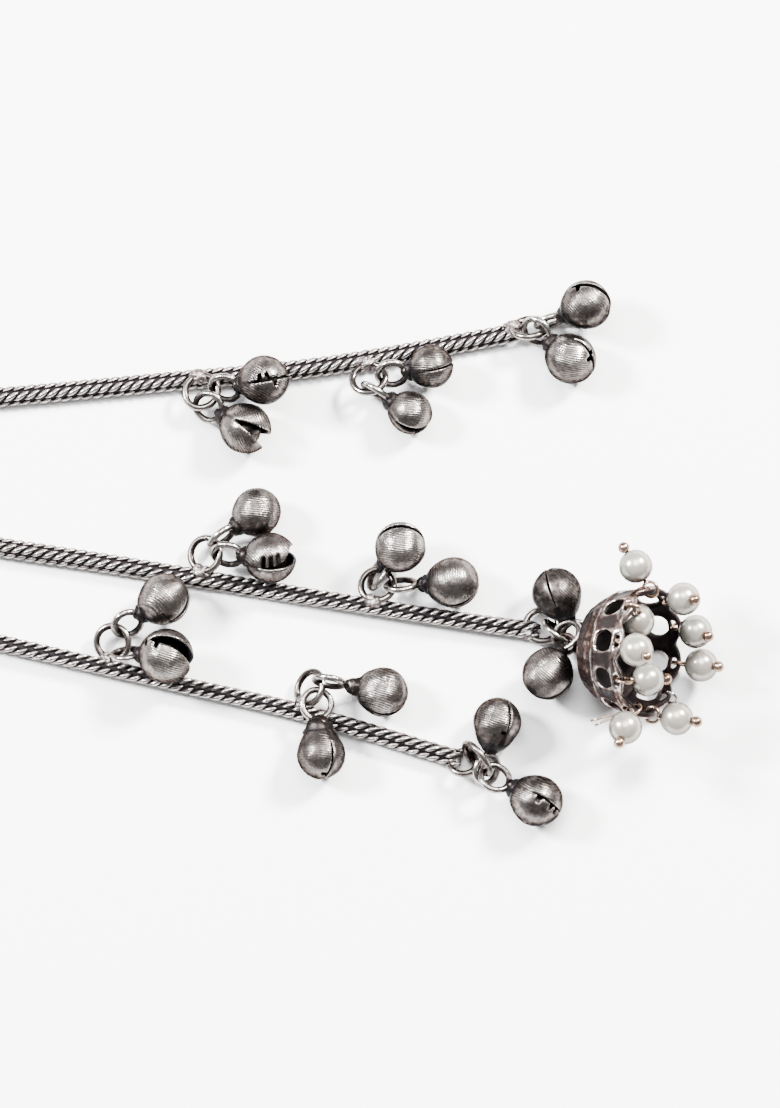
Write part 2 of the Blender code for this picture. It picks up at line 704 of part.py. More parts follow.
def make_hook():
    # The gathering ring, and the ear hook that hangs from it by a crosswise eye
    ring_height = STRAND_EYE_RADIUS + SIDE_RING_WIRE + REST_PLAY
    ring = wire_ring(TOP_RING_RADIUS, TOP_RING_WIRE, Z * ring_height, Z, TOP_RING_SIDES)
    finish("top_ring", [ring], "bright silver")
    eye_height = HOOK_EYE_RADIUS + HOOK_WIRE + REST_PLAY
    eye_centre = Vector((-TOP_RING_RADIUS - EYE_SLACK, 0.0, eye_height))
    shank_start = eye_centre.x - HOOK_EYE_RADIUS
    low = HOOK_WIRE + REST_PLAY
    path = [
        Vector((shank_start, 0.0, eye_height)),
        Vector((shank_start - HOOK_SHANK * SHANK_HALF_DOWN, 0.0, (eye_height + low) / 2)),
        Vector((shank_start - HOOK_SHANK * SHANK_DOWN, 0.0, low)),
    ]
    bend_centre = Vector((shank_start - HOOK_SHANK, HOOK_BEND_RADIUS, low))
    for i in range(HOOK_BEND_POINTS):
        a = math.radians(-90.0 - 180.0 * i / (HOOK_BEND_POINTS - 1))
        path.append(bend_centre + Vector((math.cos(a), math.sin(a), 0.0)) * HOOK_BEND_RADIUS)
    leg = path[-1]
    path.append(leg + X * HOOK_LEG * LEG_STRAIGHT)
    path.append(leg + X * HOOK_LEG + Y * HOOK_FLARE)
    wire = tube(even_points(smooth_route(path), HOOK_STEP), HOOK_WIRE, "ear_hook")
    eye = wire_ring(HOOK_EYE_RADIUS, HOOK_WIRE, eye_centre, Y, RING_SIDES, X)
    finish("ear_hook", [wire, eye], "bright silver")


def stand_on_floor(root):
    # Moves the drawing so that the row's origin is the bottom centre of its box
    bpy.context.view_layer.update()
    corners = []
    for item in root.children:
        corners += [item.matrix_world @ vertex.co for vertex in item.data.vertices]
    low = [min(corner[axis] for corner in corners) for axis in range(3)]
    high = [max(corner[axis] for corner in corners) for axis in range(3)]
    root.location = (-(low[0] + high[0]) / 2, -(low[1] + high[1]) / 2, -low[2])


for item in list(bpy.data.objects):
    bpy.data.objects.remove(item)
drawing = bpy.data.objects.new("drawing", None)
bpy.context.scene.collection.objects.link(drawing)
make_hook()
for strand_name, strand_points in STRAND_ROUTES.items():
    make_strand(strand_name, strand_points, [row for row in HANGERS if row["strand"] == strand_name])
stand_on_floor(drawing)
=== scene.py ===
# Long drop earring: woven silver strands, jingle bells, a pierced dome and its pearls.
# Shapes are worked out in mm from the gathering ring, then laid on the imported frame.
import math

import bmesh
import bpy
from mathutils import Matrix, Vector, noise
from mathutils.geometry import interpolate_bezier


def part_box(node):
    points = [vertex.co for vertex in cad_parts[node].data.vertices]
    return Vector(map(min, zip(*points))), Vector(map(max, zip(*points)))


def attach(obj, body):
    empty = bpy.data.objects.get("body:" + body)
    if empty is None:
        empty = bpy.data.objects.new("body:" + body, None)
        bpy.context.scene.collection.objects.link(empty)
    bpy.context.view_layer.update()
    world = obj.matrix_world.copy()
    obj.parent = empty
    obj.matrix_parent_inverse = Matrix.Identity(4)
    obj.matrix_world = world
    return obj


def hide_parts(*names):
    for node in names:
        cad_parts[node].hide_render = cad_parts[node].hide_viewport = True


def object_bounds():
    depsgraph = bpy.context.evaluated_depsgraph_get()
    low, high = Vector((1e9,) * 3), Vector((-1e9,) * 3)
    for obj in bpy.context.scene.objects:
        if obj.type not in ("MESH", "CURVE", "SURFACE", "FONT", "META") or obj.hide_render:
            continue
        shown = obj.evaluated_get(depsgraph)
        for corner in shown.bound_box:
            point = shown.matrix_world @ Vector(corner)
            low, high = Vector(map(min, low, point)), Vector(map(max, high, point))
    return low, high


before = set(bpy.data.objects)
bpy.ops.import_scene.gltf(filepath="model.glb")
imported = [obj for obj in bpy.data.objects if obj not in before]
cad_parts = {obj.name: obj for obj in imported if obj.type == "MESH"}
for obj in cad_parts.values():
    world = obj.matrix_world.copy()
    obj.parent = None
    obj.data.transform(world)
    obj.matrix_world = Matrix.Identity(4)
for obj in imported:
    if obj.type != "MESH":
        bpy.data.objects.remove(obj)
cadLow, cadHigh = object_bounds()
print("frame loaded:", len(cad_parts), "nodes")

mm = 0.001
up = Vector((0.0, 0.0, 1.0))
chainHalf = 1.2  # half the woven chain's width
restGap = 0.05  # air under what rests on the surface

gathering = {
    "ringRadius": 3.6, "ringWire": 0.5, "slack": 0.45, "eyeRadius": 1.5, "eyeWire": 0.32,
    "angles": {"top": 42.0, "middle": -4.0, "bottom": -50.0},
}
ringHeight = gathering["eyeRadius"] + gathering["eyeWire"] + restGap

# The drawing's origin, found from the gathering ring of the frame
ringLow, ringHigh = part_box("top_ring")
drawingPlace = (ringLow + ringHigh) / 2 - up * ringHeight * mm


def direction(heading, pitch):
    # unit vector at a heading from +X and a pitch above the floor, in degrees
    h = math.radians(heading)
    p = math.radians(pitch)
    return Vector((math.cos(p) * math.cos(h), math.cos(p) * math.sin(h), math.sin(p)))


def rolledNormal(heading, pitch, roll):
    # square to a direction, turned about it from the upright one
    side = Vector((-math.sin(math.radians(heading)), math.cos(math.radians(heading)), 0.0))
    upright = direction(heading, pitch).cross(side)
    r = math.radians(roll)
    return math.cos(r) * upright + math.sin(r) * side


def placed(origin, zAxis, xAxis):
    # matrix that sets a piece at origin with its own Z and X along the given axes
    z = zAxis.normalized()
    x = (xAxis - z * xAxis.dot(z)).normalized()
    return Matrix.Translation(origin) @ Matrix((x, z.cross(x), z)).transposed().to_4x4()


def anySquare(axis):
    helper = up if abs(axis.z) < 0.9 else Vector((1.0, 0.0, 0.0))
    return axis.cross(helper).normalized()


def newMesh():
    # the first layer: brightness, 1 where the metal is rubbed bright and 0 in its recesses, lowered on
    # the undersides of bells and pearls as painted shade; lines: mm along a turning axis
    bm = bmesh.new()
    bm.verts.layers.float.new("wearAndShade")
    bm.verts.layers.float.new("lines")
    return bm


def addPoint(bm, place, wearAndShade=0.5, lines=0.0):
    vert = bm.verts.new(place)
    vert[bm.verts.layers.float["wearAndShade"]] = wearAndShade
    vert[bm.verts.layers.float["lines"]] = lines
    return vert


def addBand(bm, ringA, ringB, skip=()):
    # faces between two rings of points, apart from the skipped columns
    count = len(ringA)
    for j in range(count):
        if j not in skip:
            k = (j + 1) % count
            bm.faces.new((ringA[j], ringA[k], ringB[k], ringB[j]))


def addFan(bm, ring, tip):
    for j in range(len(ring)):
        bm.faces.new((ring[j], ring[(j + 1) % len(ring)], tip))


handBent = {"second": 0.6, "rise": 1.5, "innerWorn": 0.25}  # how wire rings stray from true


def wireLoop(
    bm, radius, wire, centre, axis, start=None, facets=(36, 10), stray=0.01, arc=360.0, seed=0.0,
):
    # a ring of round wire, slightly out of true as hand-closed wire is; an arc under 360 stays open
    matrix = placed(centre, axis, start or anySquare(axis))
    rings = []
    sides, section = facets
    closed = arc >= 360.0
    steps = sides if closed else sides + 1
    firstTurn = 0.0 if closed else math.radians(360.0 - arc / 2)
    for i in range(steps):
        a = math.radians(arc) * i / sides + firstTurn
        bend = 1.0 + stray * (math.sin(2 * a + seed) + handBent["second"] * math.sin(3 * a + 2.1 * seed))
        rise = wire * stray * handBent["rise"] * math.sin(2 * a + 1.3 * seed)
        ring = []
        for j in range(section):
            b = 2 * math.pi * j / section
            reach = radius * bend + wire * math.cos(b)
            point = Vector((reach * math.cos(a), reach * math.sin(a), rise + wire * math.sin(b)))
            outward = 0.5 + 0.5 * math.cos(b)
            wearAndShade = handBent["innerWorn"] + (1.0 - handBent["innerWorn"]) * outward
            ring.append(addPoint(bm, matrix @ point, wearAndShade))
        rings.append(ring)
    for i in range(steps if closed else steps - 1):
        addBand(bm, rings[i], rings[(i + 1) % steps])
    if not closed:
        for ring in (rings[0], rings[-1]):
            bm.faces.new(ring)


def ballOf(bm, radius, centre, axis, facets=(20, 12), stretch=1.0, lump=0.0, seed=0.0, wearAndShade=0.6):
    # a bead, drawn out along its axis by stretch and roughened by lump
    matrix = placed(centre, axis, anySquare(axis))
    rings = []
    sides, rows = facets
    for i in range(1, rows):
        polar = math.pi * i / rows
        ring = []
        for j in range(sides):
            a = 2 * math.pi * j / sides
            across = math.sin(polar)
            point = Vector((across * math.cos(a), across * math.sin(a), math.cos(polar) * stretch))
            swell = 1.0 + lump * noise.noise(point * 2.2 + Vector((seed, 0.0, seed * 0.7)))
            ring.append(addPoint(bm, matrix @ (point * radius * swell), wearAndShade))
        rings.append(ring)
    for i in range(len(rings) - 1):
        addBand(bm, rings[i], rings[i + 1])
    addFan(bm, rings[0], addPoint(bm, matrix @ Vector((0, 0, radius * stretch)), wearAndShade))
    addFan(bm, rings[-1], addPoint(bm, matrix @ Vector((0, 0, -radius * stretch)), wearAndShade))


def sweptWire(bm, path, wire, section=10, wearAndShade=0.6):
    # round wire with flat ends along a path of points
    frameX = anySquare((path[1] - path[0]).normalized())
    rings = []
    for i, point in enumerate(path):
        ahead = (path[min(i + 1, len(path) - 1)] - path[max(i - 1, 0)]).normalized()
        frameX = (frameX - ahead * frameX.dot(ahead)).normalized()
        frameY = ahead.cross(frameX)
        ring = []
        for j in range(section):
            b = 2 * math.pi * j / section
            ring.append(addPoint(bm, point + (frameX * math.cos(b) + frameY * math.sin(b)) * wire, wearAndShade))
        rings.append(ring)
    for i in range(len(rings) - 1):
        addBand(bm, rings[i], rings[i + 1])
    bm.faces.new(rings[0])
    bm.faces.new(rings[-1])


def smoothRoute(points, steps=16):
    # close points along one smooth curve through the chosen ones
    last = len(points) - 1
    headings = [points[min(i + 1, last)] - points[max(i - 1, 0)] for i in range(last + 1)]
    headings = [heading.normalized() for heading in headings]
    dense = [points[0]]
    for i in range(last):
        third = (points[i + 1] - points[i]).length / 3
        handleA = points[i] + headings[i] * third
        handleB = points[i + 1] - headings[i + 1] * third
        dense += interpolate_bezier(points[i], handleA, handleB, points[i + 1], steps)[1:]
    return dense


def pointAlong(path, distance):
    # the point and the heading at a distance along a path
    for i in range(len(path) - 1):
        step = path[i + 1] - path[i]
        if distance <= step.length or i == len(path) - 2:
            return path[i] + step.normalized() * distance, step.normalized()
        distance -= step.length


def closedMesh(bm, name):
    # a mesh from the drawn faces, its doubles merged and its faces turned outwards
    bmesh.ops.remove_doubles(bm, verts=bm.verts, dist=0.0004)
    bmesh.ops.recalc_face_normals(bm, faces=bm.faces)
    mesh = bpy.data.meshes.new(name)
    bm.to_mesh(mesh)
    bm.free()
    return mesh


def refined(bm, name):
    # the same shape with its facets rounded by one subdivision, open for more drawing
    mesh = closedMesh(bm, name)
    holder = bpy.data.objects.new(name, mesh)
    bpy.context.scene.collection.objects.link(holder)
    rounding = holder.modifiers.new("rounding", "SUBSURF")
    rounding.levels = 1
    rounding.render_levels = 1
    evaluated = holder.evaluated_get(bpy.context.evaluated_depsgraph_get())
    smooth = bpy.data.meshes.new_from_object(evaluated)
    whole = newMesh()
    whole.from_mesh(smooth)
    for spare in (smooth, mesh):
        bpy.data.meshes.remove(spare)
    return whole


def showPiece(name, mesh, look, replaced=()):
    # puts a finished mesh in the scene in one of the looks, riding on the one body
    piece = bpy.data.objects.new(name, mesh)
    bpy.context.scene.collection.objects.link(piece)
    if not mesh.materials:
        mesh.materials.append(looks[look])
    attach(piece, "root")
    if replaced:
        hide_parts(*replaced)


def showShape(name, bm, look, replaced=()):
    # puts what was drawn in mm in its place in metres
    mesh = closedMesh(bm, name)
    mesh.transform(Matrix.Translation(drawingPlace) @ Matrix.Scale(mm, 4))
    mesh.shade_smooth()
    showPiece(name, mesh, look, replaced)


# Materials

def startMaterial(name):
    # a new look, its nodes and its shader; noise scales are per metre
    look = bpy.data.materials.new(name)
    look.use_nodes = True
    return look, look.node_tree, look.node_tree.nodes["Principled BSDF"]


def colourRamp(tree, fac, stops):
    ramp = tree.nodes.new("ShaderNodeValToRGB")
    ramp.color_ramp.elements[0].position = stops[0][0]
    ramp.color_ramp.elements[0].color = (*stops[0][1], 1.0)
    ramp.color_ramp.elements[1].position = stops[-1][0]
    ramp.color_ramp.elements[1].color = (*stops[-1][1], 1.0)
    for place, colour in stops[1:-1]:
        ramp.color_ramp.elements.new(place).color = (*colour, 1.0)
    tree.links.new(fac, ramp.inputs["Fac"])
    return ramp.outputs["Color"]


def rangeOf(tree, value, fromLow, fromHigh, toLow, toHigh):
    node = tree.nodes.new("ShaderNodeMapRange")
    node.inputs["From Min"].default_value = fromLow
    node.inputs["From Max"].default_value = fromHigh
    node.inputs["To Min"].default_value = toLow
    node.inputs["To Max"].default_value = toHigh
    tree.links.new(value, node.inputs["Value"])
    return node.outputs["Result"]


def mathOf(tree, operation, a, b):
    node = tree.nodes.new("ShaderNodeMath")
    node.operation = operation
    for socket, value in zip(node.inputs, (a, b)):
        if isinstance(value, (int, float)):
            socket.default_value = value
        else:
            tree.links.new(value, socket)
    return node.outputs["Value"]


def mixOf(tree, fac, a, b):
    node = tree.nodes.new("ShaderNodeMix")
    node.data_type = "RGBA"
    for socket, value in ((node.inputs[0], fac), (node.inputs[6], a), (node.inputs[7], b)):
        if isinstance(value, (int, float)):
            socket.default_value = value
        elif isinstance(value, tuple):
            socket.default_value = (*value, 1.0)
        else:
            tree.links.new(value, socket)
    return node.outputs[2]


def noiseOf(tree, scale, detail=3.0, rough=0.55):
    place = tree.nodes.new("ShaderNodeTexCoord")
    grain = tree.nodes.new("ShaderNodeTexNoise")
    grain.inputs["Scale"].default_value = scale
    grain.inputs["Detail"].default_value = detail
    grain.inputs["Roughness"].default_value = rough
    tree.links.new(place.outputs["Object"], grain.inputs["Vector"])
    return grain.outputs["Fac"]


def attributeOf(tree, name):
    node = tree.nodes.new("ShaderNodeAttribute")
    node.attribute_name = name
    return node.outputs["Fac"]


def bumpOf(tree, shader, height, strength, distance):
    bump = tree.nodes.new("ShaderNodeBump")
    bump.inputs["Strength"].default_value = strength
    bump.inputs["Distance"].default_value = distance
    tree.links.new(height, bump.inputs["Height"])
    tree.links.new(bump.outputs["Normal"], shader.inputs["Normal"])


def wovenSilver():
    # bright rubbed grains, brown-black oxide in the recesses
    look, tree, shader = startMaterial("woven oxidised silver")
    stain = noiseOf(tree, 900.0, 3.0)
    height = mathOf(tree, "ADD", attributeOf(tree, "wearAndShade"), rangeOf(tree, stain, 0.3, 0.7, -0.12, 0.12))
    colour = colourRamp(tree, height, (
        (0.0, (0.003, 0.002, 0.003)), (0.50, (0.005, 0.003, 0.004)), (0.66, (0.065, 0.055, 0.053)),
        (0.84, (0.20, 0.182, 0.175)), (1.0, (0.40, 0.378, 0.366))))
    tree.links.new(colour, shader.inputs["Base Color"])
    tree.links.new(rangeOf(tree, height, 0.4, 1.0, 0.60, 0.24), shader.inputs["Roughness"])
    tree.links.new(rangeOf(tree, height, 0.4, 0.65, 0.1, 1.0), shader.inputs["Metallic"])
    shader.inputs["Specular IOR Level"].default_value = 0.3
    shader.inputs["Specular Tint"].default_value = (0.45, 0.42, 0.42, 1.0)
    bumpOf(tree, shader, noiseOf(tree, 4200.0, 2.0), 0.3, 0.00005)
    return look


def brightWire():
    # polished wire with soft grey handling marks
    look, tree, shader = startMaterial("bright silver wire")
    stain = noiseOf(tree, 420.0, 4.0)
    height = mathOf(tree, "ADD", attributeOf(tree, "wearAndShade"), rangeOf(tree, stain, 0.35, 0.7, 0.25, -0.5))
    colour = colourRamp(tree, height, (
        (0.0, (0.025, 0.019, 0.018)), (0.4, (0.085, 0.071, 0.066)), (1.0, (0.30, 0.272, 0.254))))
    tree.links.new(colour, shader.inputs["Base Color"])
    shader.inputs["Metallic"].default_value = 1.0
    shader.inputs["Specular Tint"].default_value = (0.40, 0.37, 0.36, 1.0)
    tree.links.new(rangeOf(tree, stain, 0.3, 0.7, 0.14, 0.32), shader.inputs["Roughness"])
    bumpOf(tree, shader, noiseOf(tree, 1500.0, 3.0), 0.22, 0.00007)
    return look


def solderSilver():
    look, tree, shader = startMaterial("pale lumpy solder")
    stain = noiseOf(tree, 1300.0, 4.0)
    colour = colourRamp(tree, stain, (
        (0.34, (0.022, 0.016, 0.016)), (0.48, (0.13, 0.108, 0.103)), (0.72, (0.36, 0.335, 0.325))))
    tree.links.new(colour, shader.inputs["Base Color"])
    shader.inputs["Metallic"].default_value = 0.9
    shader.inputs["Specular Tint"].default_value = (0.42, 0.39, 0.38, 1.0)
    shader.inputs["Roughness"].default_value = 0.30
    bumpOf(tree, shader, noiseOf(tree, 1600.0, 4.0), 0.9, 0.0003)
    return look


def bellSilver():
    # turned silver, dulled rosy grey, with lathe lines, dark dirt by the slits and necks, and painted
    # shade on the undersides, which the shapes carry in their brightness attribute
    look, tree, shader = startMaterial("turned oxidised silver")
    cloud = noiseOf(tree, 300.0, 4.0, 0.6)
    speck = noiseOf(tree, 2100.0, 3.0, 0.6)
    # the brightness attribute brings wear, the darker seams and necks, and painted shade on the
    # undersides
    rubbed = mathOf(tree, "ADD", attributeOf(tree, "wearAndShade"), rangeOf(tree, cloud, 0.3, 0.7, -0.16, 0.18))
    rubbed = mathOf(tree, "ADD", rubbed, rangeOf(tree, speck, 0.35, 0.72, 0.10, -0.18))
    latheStep = 0.27  # mm from one turned line to the next
    turning = mathOf(tree, "MULTIPLY", attributeOf(tree, "lines"), 2 * math.pi / latheStep)
    drift = rangeOf(tree, noiseOf(tree, 520.0, 2.0), 0.0, 1.0, -3.0, 3.0)
    lathe = mathOf(tree, "SINE", mathOf(tree, "ADD", turning, drift), 0.0)
    lineDepth = rangeOf(tree, noiseOf(tree, 240.0, 2.0), 0.42, 0.62, 0.0, 1.0)
    lathe = mathOf(tree, "MULTIPLY", lathe, lineDepth)
    rubbed = mathOf(tree, "ADD", rubbed, mathOf(tree, "MULTIPLY", lathe, 0.11))
    colour = colourRamp(tree, rubbed, (
        (0.0, (0.003, 0.002, 0.003)), (0.22, (0.019, 0.016, 0.015)), (0.45, (0.082, 0.072, 0.068)),
        (0.70, (0.180, 0.163, 0.154)), (1.0, (0.38, 0.355, 0.340))))
    tree.links.new(colour, shader.inputs["Base Color"])
    tree.links.new(rangeOf(tree, rubbed, -0.1, 0.25, 0.3, 1.0), shader.inputs["Metallic"])
    tree.links.new(rangeOf(tree, rubbed, 0.1, 0.9, 0.42, 0.21), shader.inputs["Roughness"])
    shader.inputs["Specular Tint"].default_value = (0.30, 0.288, 0.284, 1.0)
    height = mathOf(tree, "MULTIPLY", lathe, 0.6)
    height = mathOf(tree, "ADD", height, mathOf(tree, "MULTIPLY", speck, 1.1))
    height = mathOf(tree, "ADD", height, mathOf(tree, "MULTIPLY", cloud, 3.0))
    bumpOf(tree, shader, height, 0.5, 0.00008)
    return look


def castSilver():
    # the dome: dark cast metal, bright on its worn edges, with copper-brown patches
    look, tree, shader = startMaterial("dark cast silver")
    cloud = noiseOf(tree, 230.0, 4.0, 0.6)
    grain = noiseOf(tree, 1500.0, 4.0, 0.6)
    rubbed = mathOf(tree, "ADD", attributeOf(tree, "wearAndShade"), rangeOf(tree, grain, 0.3, 0.7, -0.34, 0.28))
    silver = colourRamp(tree, rubbed, (
        (0.0, (0.002, 0.001, 0.002)), (0.3, (0.006, 0.004, 0.004)), (0.55, (0.030, 0.022, 0.021)),
        (0.78, (0.105, 0.088, 0.082)), (1.0, (0.36, 0.33, 0.313))))
    copper = colourRamp(tree, rubbed, (
        (0.1, (0.003, 0.001, 0.001)), (0.5, (0.024, 0.013, 0.011)), (1.0, (0.26, 0.19, 0.165))))
    patch = rangeOf(tree, cloud, 0.46, 0.58, 0.0, 0.8)
    tree.links.new(mixOf(tree, patch, silver, copper), shader.inputs["Base Color"])
    tree.links.new(rangeOf(tree, rubbed, 0.2, 0.6, 0.35, 1.0), shader.inputs["Metallic"])
    tree.links.new(rangeOf(tree, rubbed, 0.1, 0.9, 0.52, 0.24), shader.inputs["Roughness"])
    shader.inputs["Specular Tint"].default_value = (0.30, 0.26, 0.25, 1.0)
    bumpOf(tree, shader, mathOf(tree, "ADD", grain, cloud), 0.5, 0.00014)
    return look


def pearlNacre():
    # creamy nacre under a clear, soft gloss, darkened to near black on each pearl's underside as painted
    # shade
    look, tree, shader = startMaterial("cream pearl")
    cloud = noiseOf(tree, 260.0, 3.0, 0.5)
    upper = colourRamp(tree, cloud, (
        (0.32, (0.27, 0.232, 0.222)), (0.46, (0.36, 0.330, 0.284)), (0.60, (0.32, 0.315, 0.274)),
        (0.72, (0.26, 0.246, 0.260))))
    # painted shade: the cream above is mixed to near black where the pearl faces down
    lit = attributeOf(tree, "wearAndShade")
    tree.links.new(mixOf(tree, lit, (0.020, 0.018, 0.016), upper), shader.inputs["Base Color"])
    shader.inputs["Roughness"].default_value = 0.27
    shader.inputs["Metallic"].default_value = 0.62
    shader.inputs["Specular IOR Level"].default_value = 0.3
    shader.inputs["Specular Tint"].default_value = (0.30, 0.285, 0.27, 1.0)
    shader.inputs["Coat Weight"].default_value = 0.2
    shader.inputs["Coat Roughness"].default_value = 0.12
    bumpOf(tree, shader, noiseOf(tree, 650.0, 2.0), 0.12, 0.00008)
    return look


def pinGold():
    look, tree, shader = startMaterial("pale rose pin metal")
    stain = noiseOf(tree, 700.0, 3.0)
    colour = colourRamp(tree, stain, (
        (0.3, (0.15, 0.095, 0.068)), (0.55, (0.33, 0.235, 0.18)), (0.75, (0.48, 0.375, 0.305))))
    tree.links.new(colour, shader.inputs["Base Color"])
    shader.inputs["Metallic"].default_value = 0.95
    shader.inputs["Specular Tint"].default_value = (0.45, 0.36, 0.30, 1.0)
    shader.inputs["Roughness"].default_value = 0.22
    return look


looks = {
    "woven": wovenSilver(), "wire": brightWire(), "solder": solderSilver(), "bell": bellSilver(),
    "dome": castSilver(), "pearl": pearlNacre(), "pin": pinGold(),
}
print("materials made:", len(looks))


# Woven chain: every pitch has four slanting bars, each bent over a corner of the square chain

wovenChain = {
    "pitch": 1.26, "crest": 1.0, "base": 0.60, "coreRadius": 0.72, "squareness": 5.0,
    "cornerWidth": 1.18, "tipWidth": 0.92, "slant": 0.80, "barTurn": 40.3,
    "stations": (-1.0, -0.965, -0.87, -0.70, -0.42, 0.0, 0.42, 0.70, 0.87, 0.965, 1.0),
    "section": ((-0.5, 0.0), (-0.36, 0.80), (0.0, 1.0), (0.36, 0.80), (0.5, 0.0)),
    "roundFrom": 0.66, "narrowFrom": 0.1, "narrowTo": 0.6, "tipHeight": 0.15, "tipEnd": 0.12,
    "twists": {"top": (26.0, 26.0), "middle": (38.0, -28.0), "bottom": (3.0, -33.0)},
}
# Chosen points of each strand, in mm from the gathering ring
strandRoutes = {
    "top": [(30.0, 5.9), (62.6, 8.7), (80.0, 10.35), (98.0, 12.1), (109.0, 13.8), (123.3, 16.5)],
    "middle": [
        (30.0, -4.7), (62.6, -9.9), (76.4, -12.05), (98.0, -15.7), (119.6, -19.1), (125.8, -19.95),
    ],
    "bottom": [
        (25.0, -11.3), (45.0, -17.4), (62.6, -21.65), (84.8, -26.8), (98.0, -29.9), (116.4, -35.5),
    ],
}


def chainSquare(angle, reach):
    # distance from the chain's axis to its rounded square outline
    power = wovenChain["squareness"]
    spread = abs(math.cos(angle)) ** power + abs(math.sin(angle)) ** power
    return reach / spread ** (1.0 / power)


def weaveBar():
    # one bar over the corner between +Z and +Y, widest there, with rounded tips; X runs along the chain
    bm = bmesh.new()
    wornLayer = bm.verts.layers.float.new("wearAndShade")
    c = wovenChain
    rows = []
    for share in c["stations"]:
        x = share * c["slant"]
        angle = math.radians(45.0 + c["barTurn"] * share)
        outer = chainSquare(angle, c["crest"])
        inner = chainSquare(angle, c["base"])
        pastFull = max(0.0, abs(share) - c["roundFrom"]) / (1.0 - c["roundFrom"])
        tip = math.sqrt(max(0.0, 1.0 - pastFull ** 2))
        narrow = (abs(share) - c["narrowFrom"]) / (c["narrowTo"] - c["narrowFrom"])
        full = c["cornerWidth"] + (c["tipWidth"] - c["cornerWidth"]) * min(1.0, max(0.0, narrow))
        row = []
        for along, lift in c["section"]:
            raised = lift * (c["tipHeight"] + (1.0 - c["tipHeight"]) * tip)
            reach = inner + (outer - inner) * raised
            width = along * full * (c["tipEnd"] + (1.0 - c["tipEnd"]) * tip)
            vert = bm.verts.new(Vector((x + width, reach * math.sin(angle), reach * math.cos(angle))))
            vert[wornLayer] = 0.05 + 0.95 * raised
            row.append(vert)
        rows.append(row)
    for i in range(len(rows) - 1):
        addBand(bm, rows[i], rows[i + 1])
    bm.faces.new(rows[0])
    bm.faces.new(rows[-1])
    mesh = closedMesh(bm, "weave bar")
    mesh.transform(Matrix.Scale(mm, 4))
    mesh.shade_smooth()
    bar = bpy.data.objects.new("weave bar", mesh)
    bpy.context.scene.collection.objects.link(bar)
    return bar


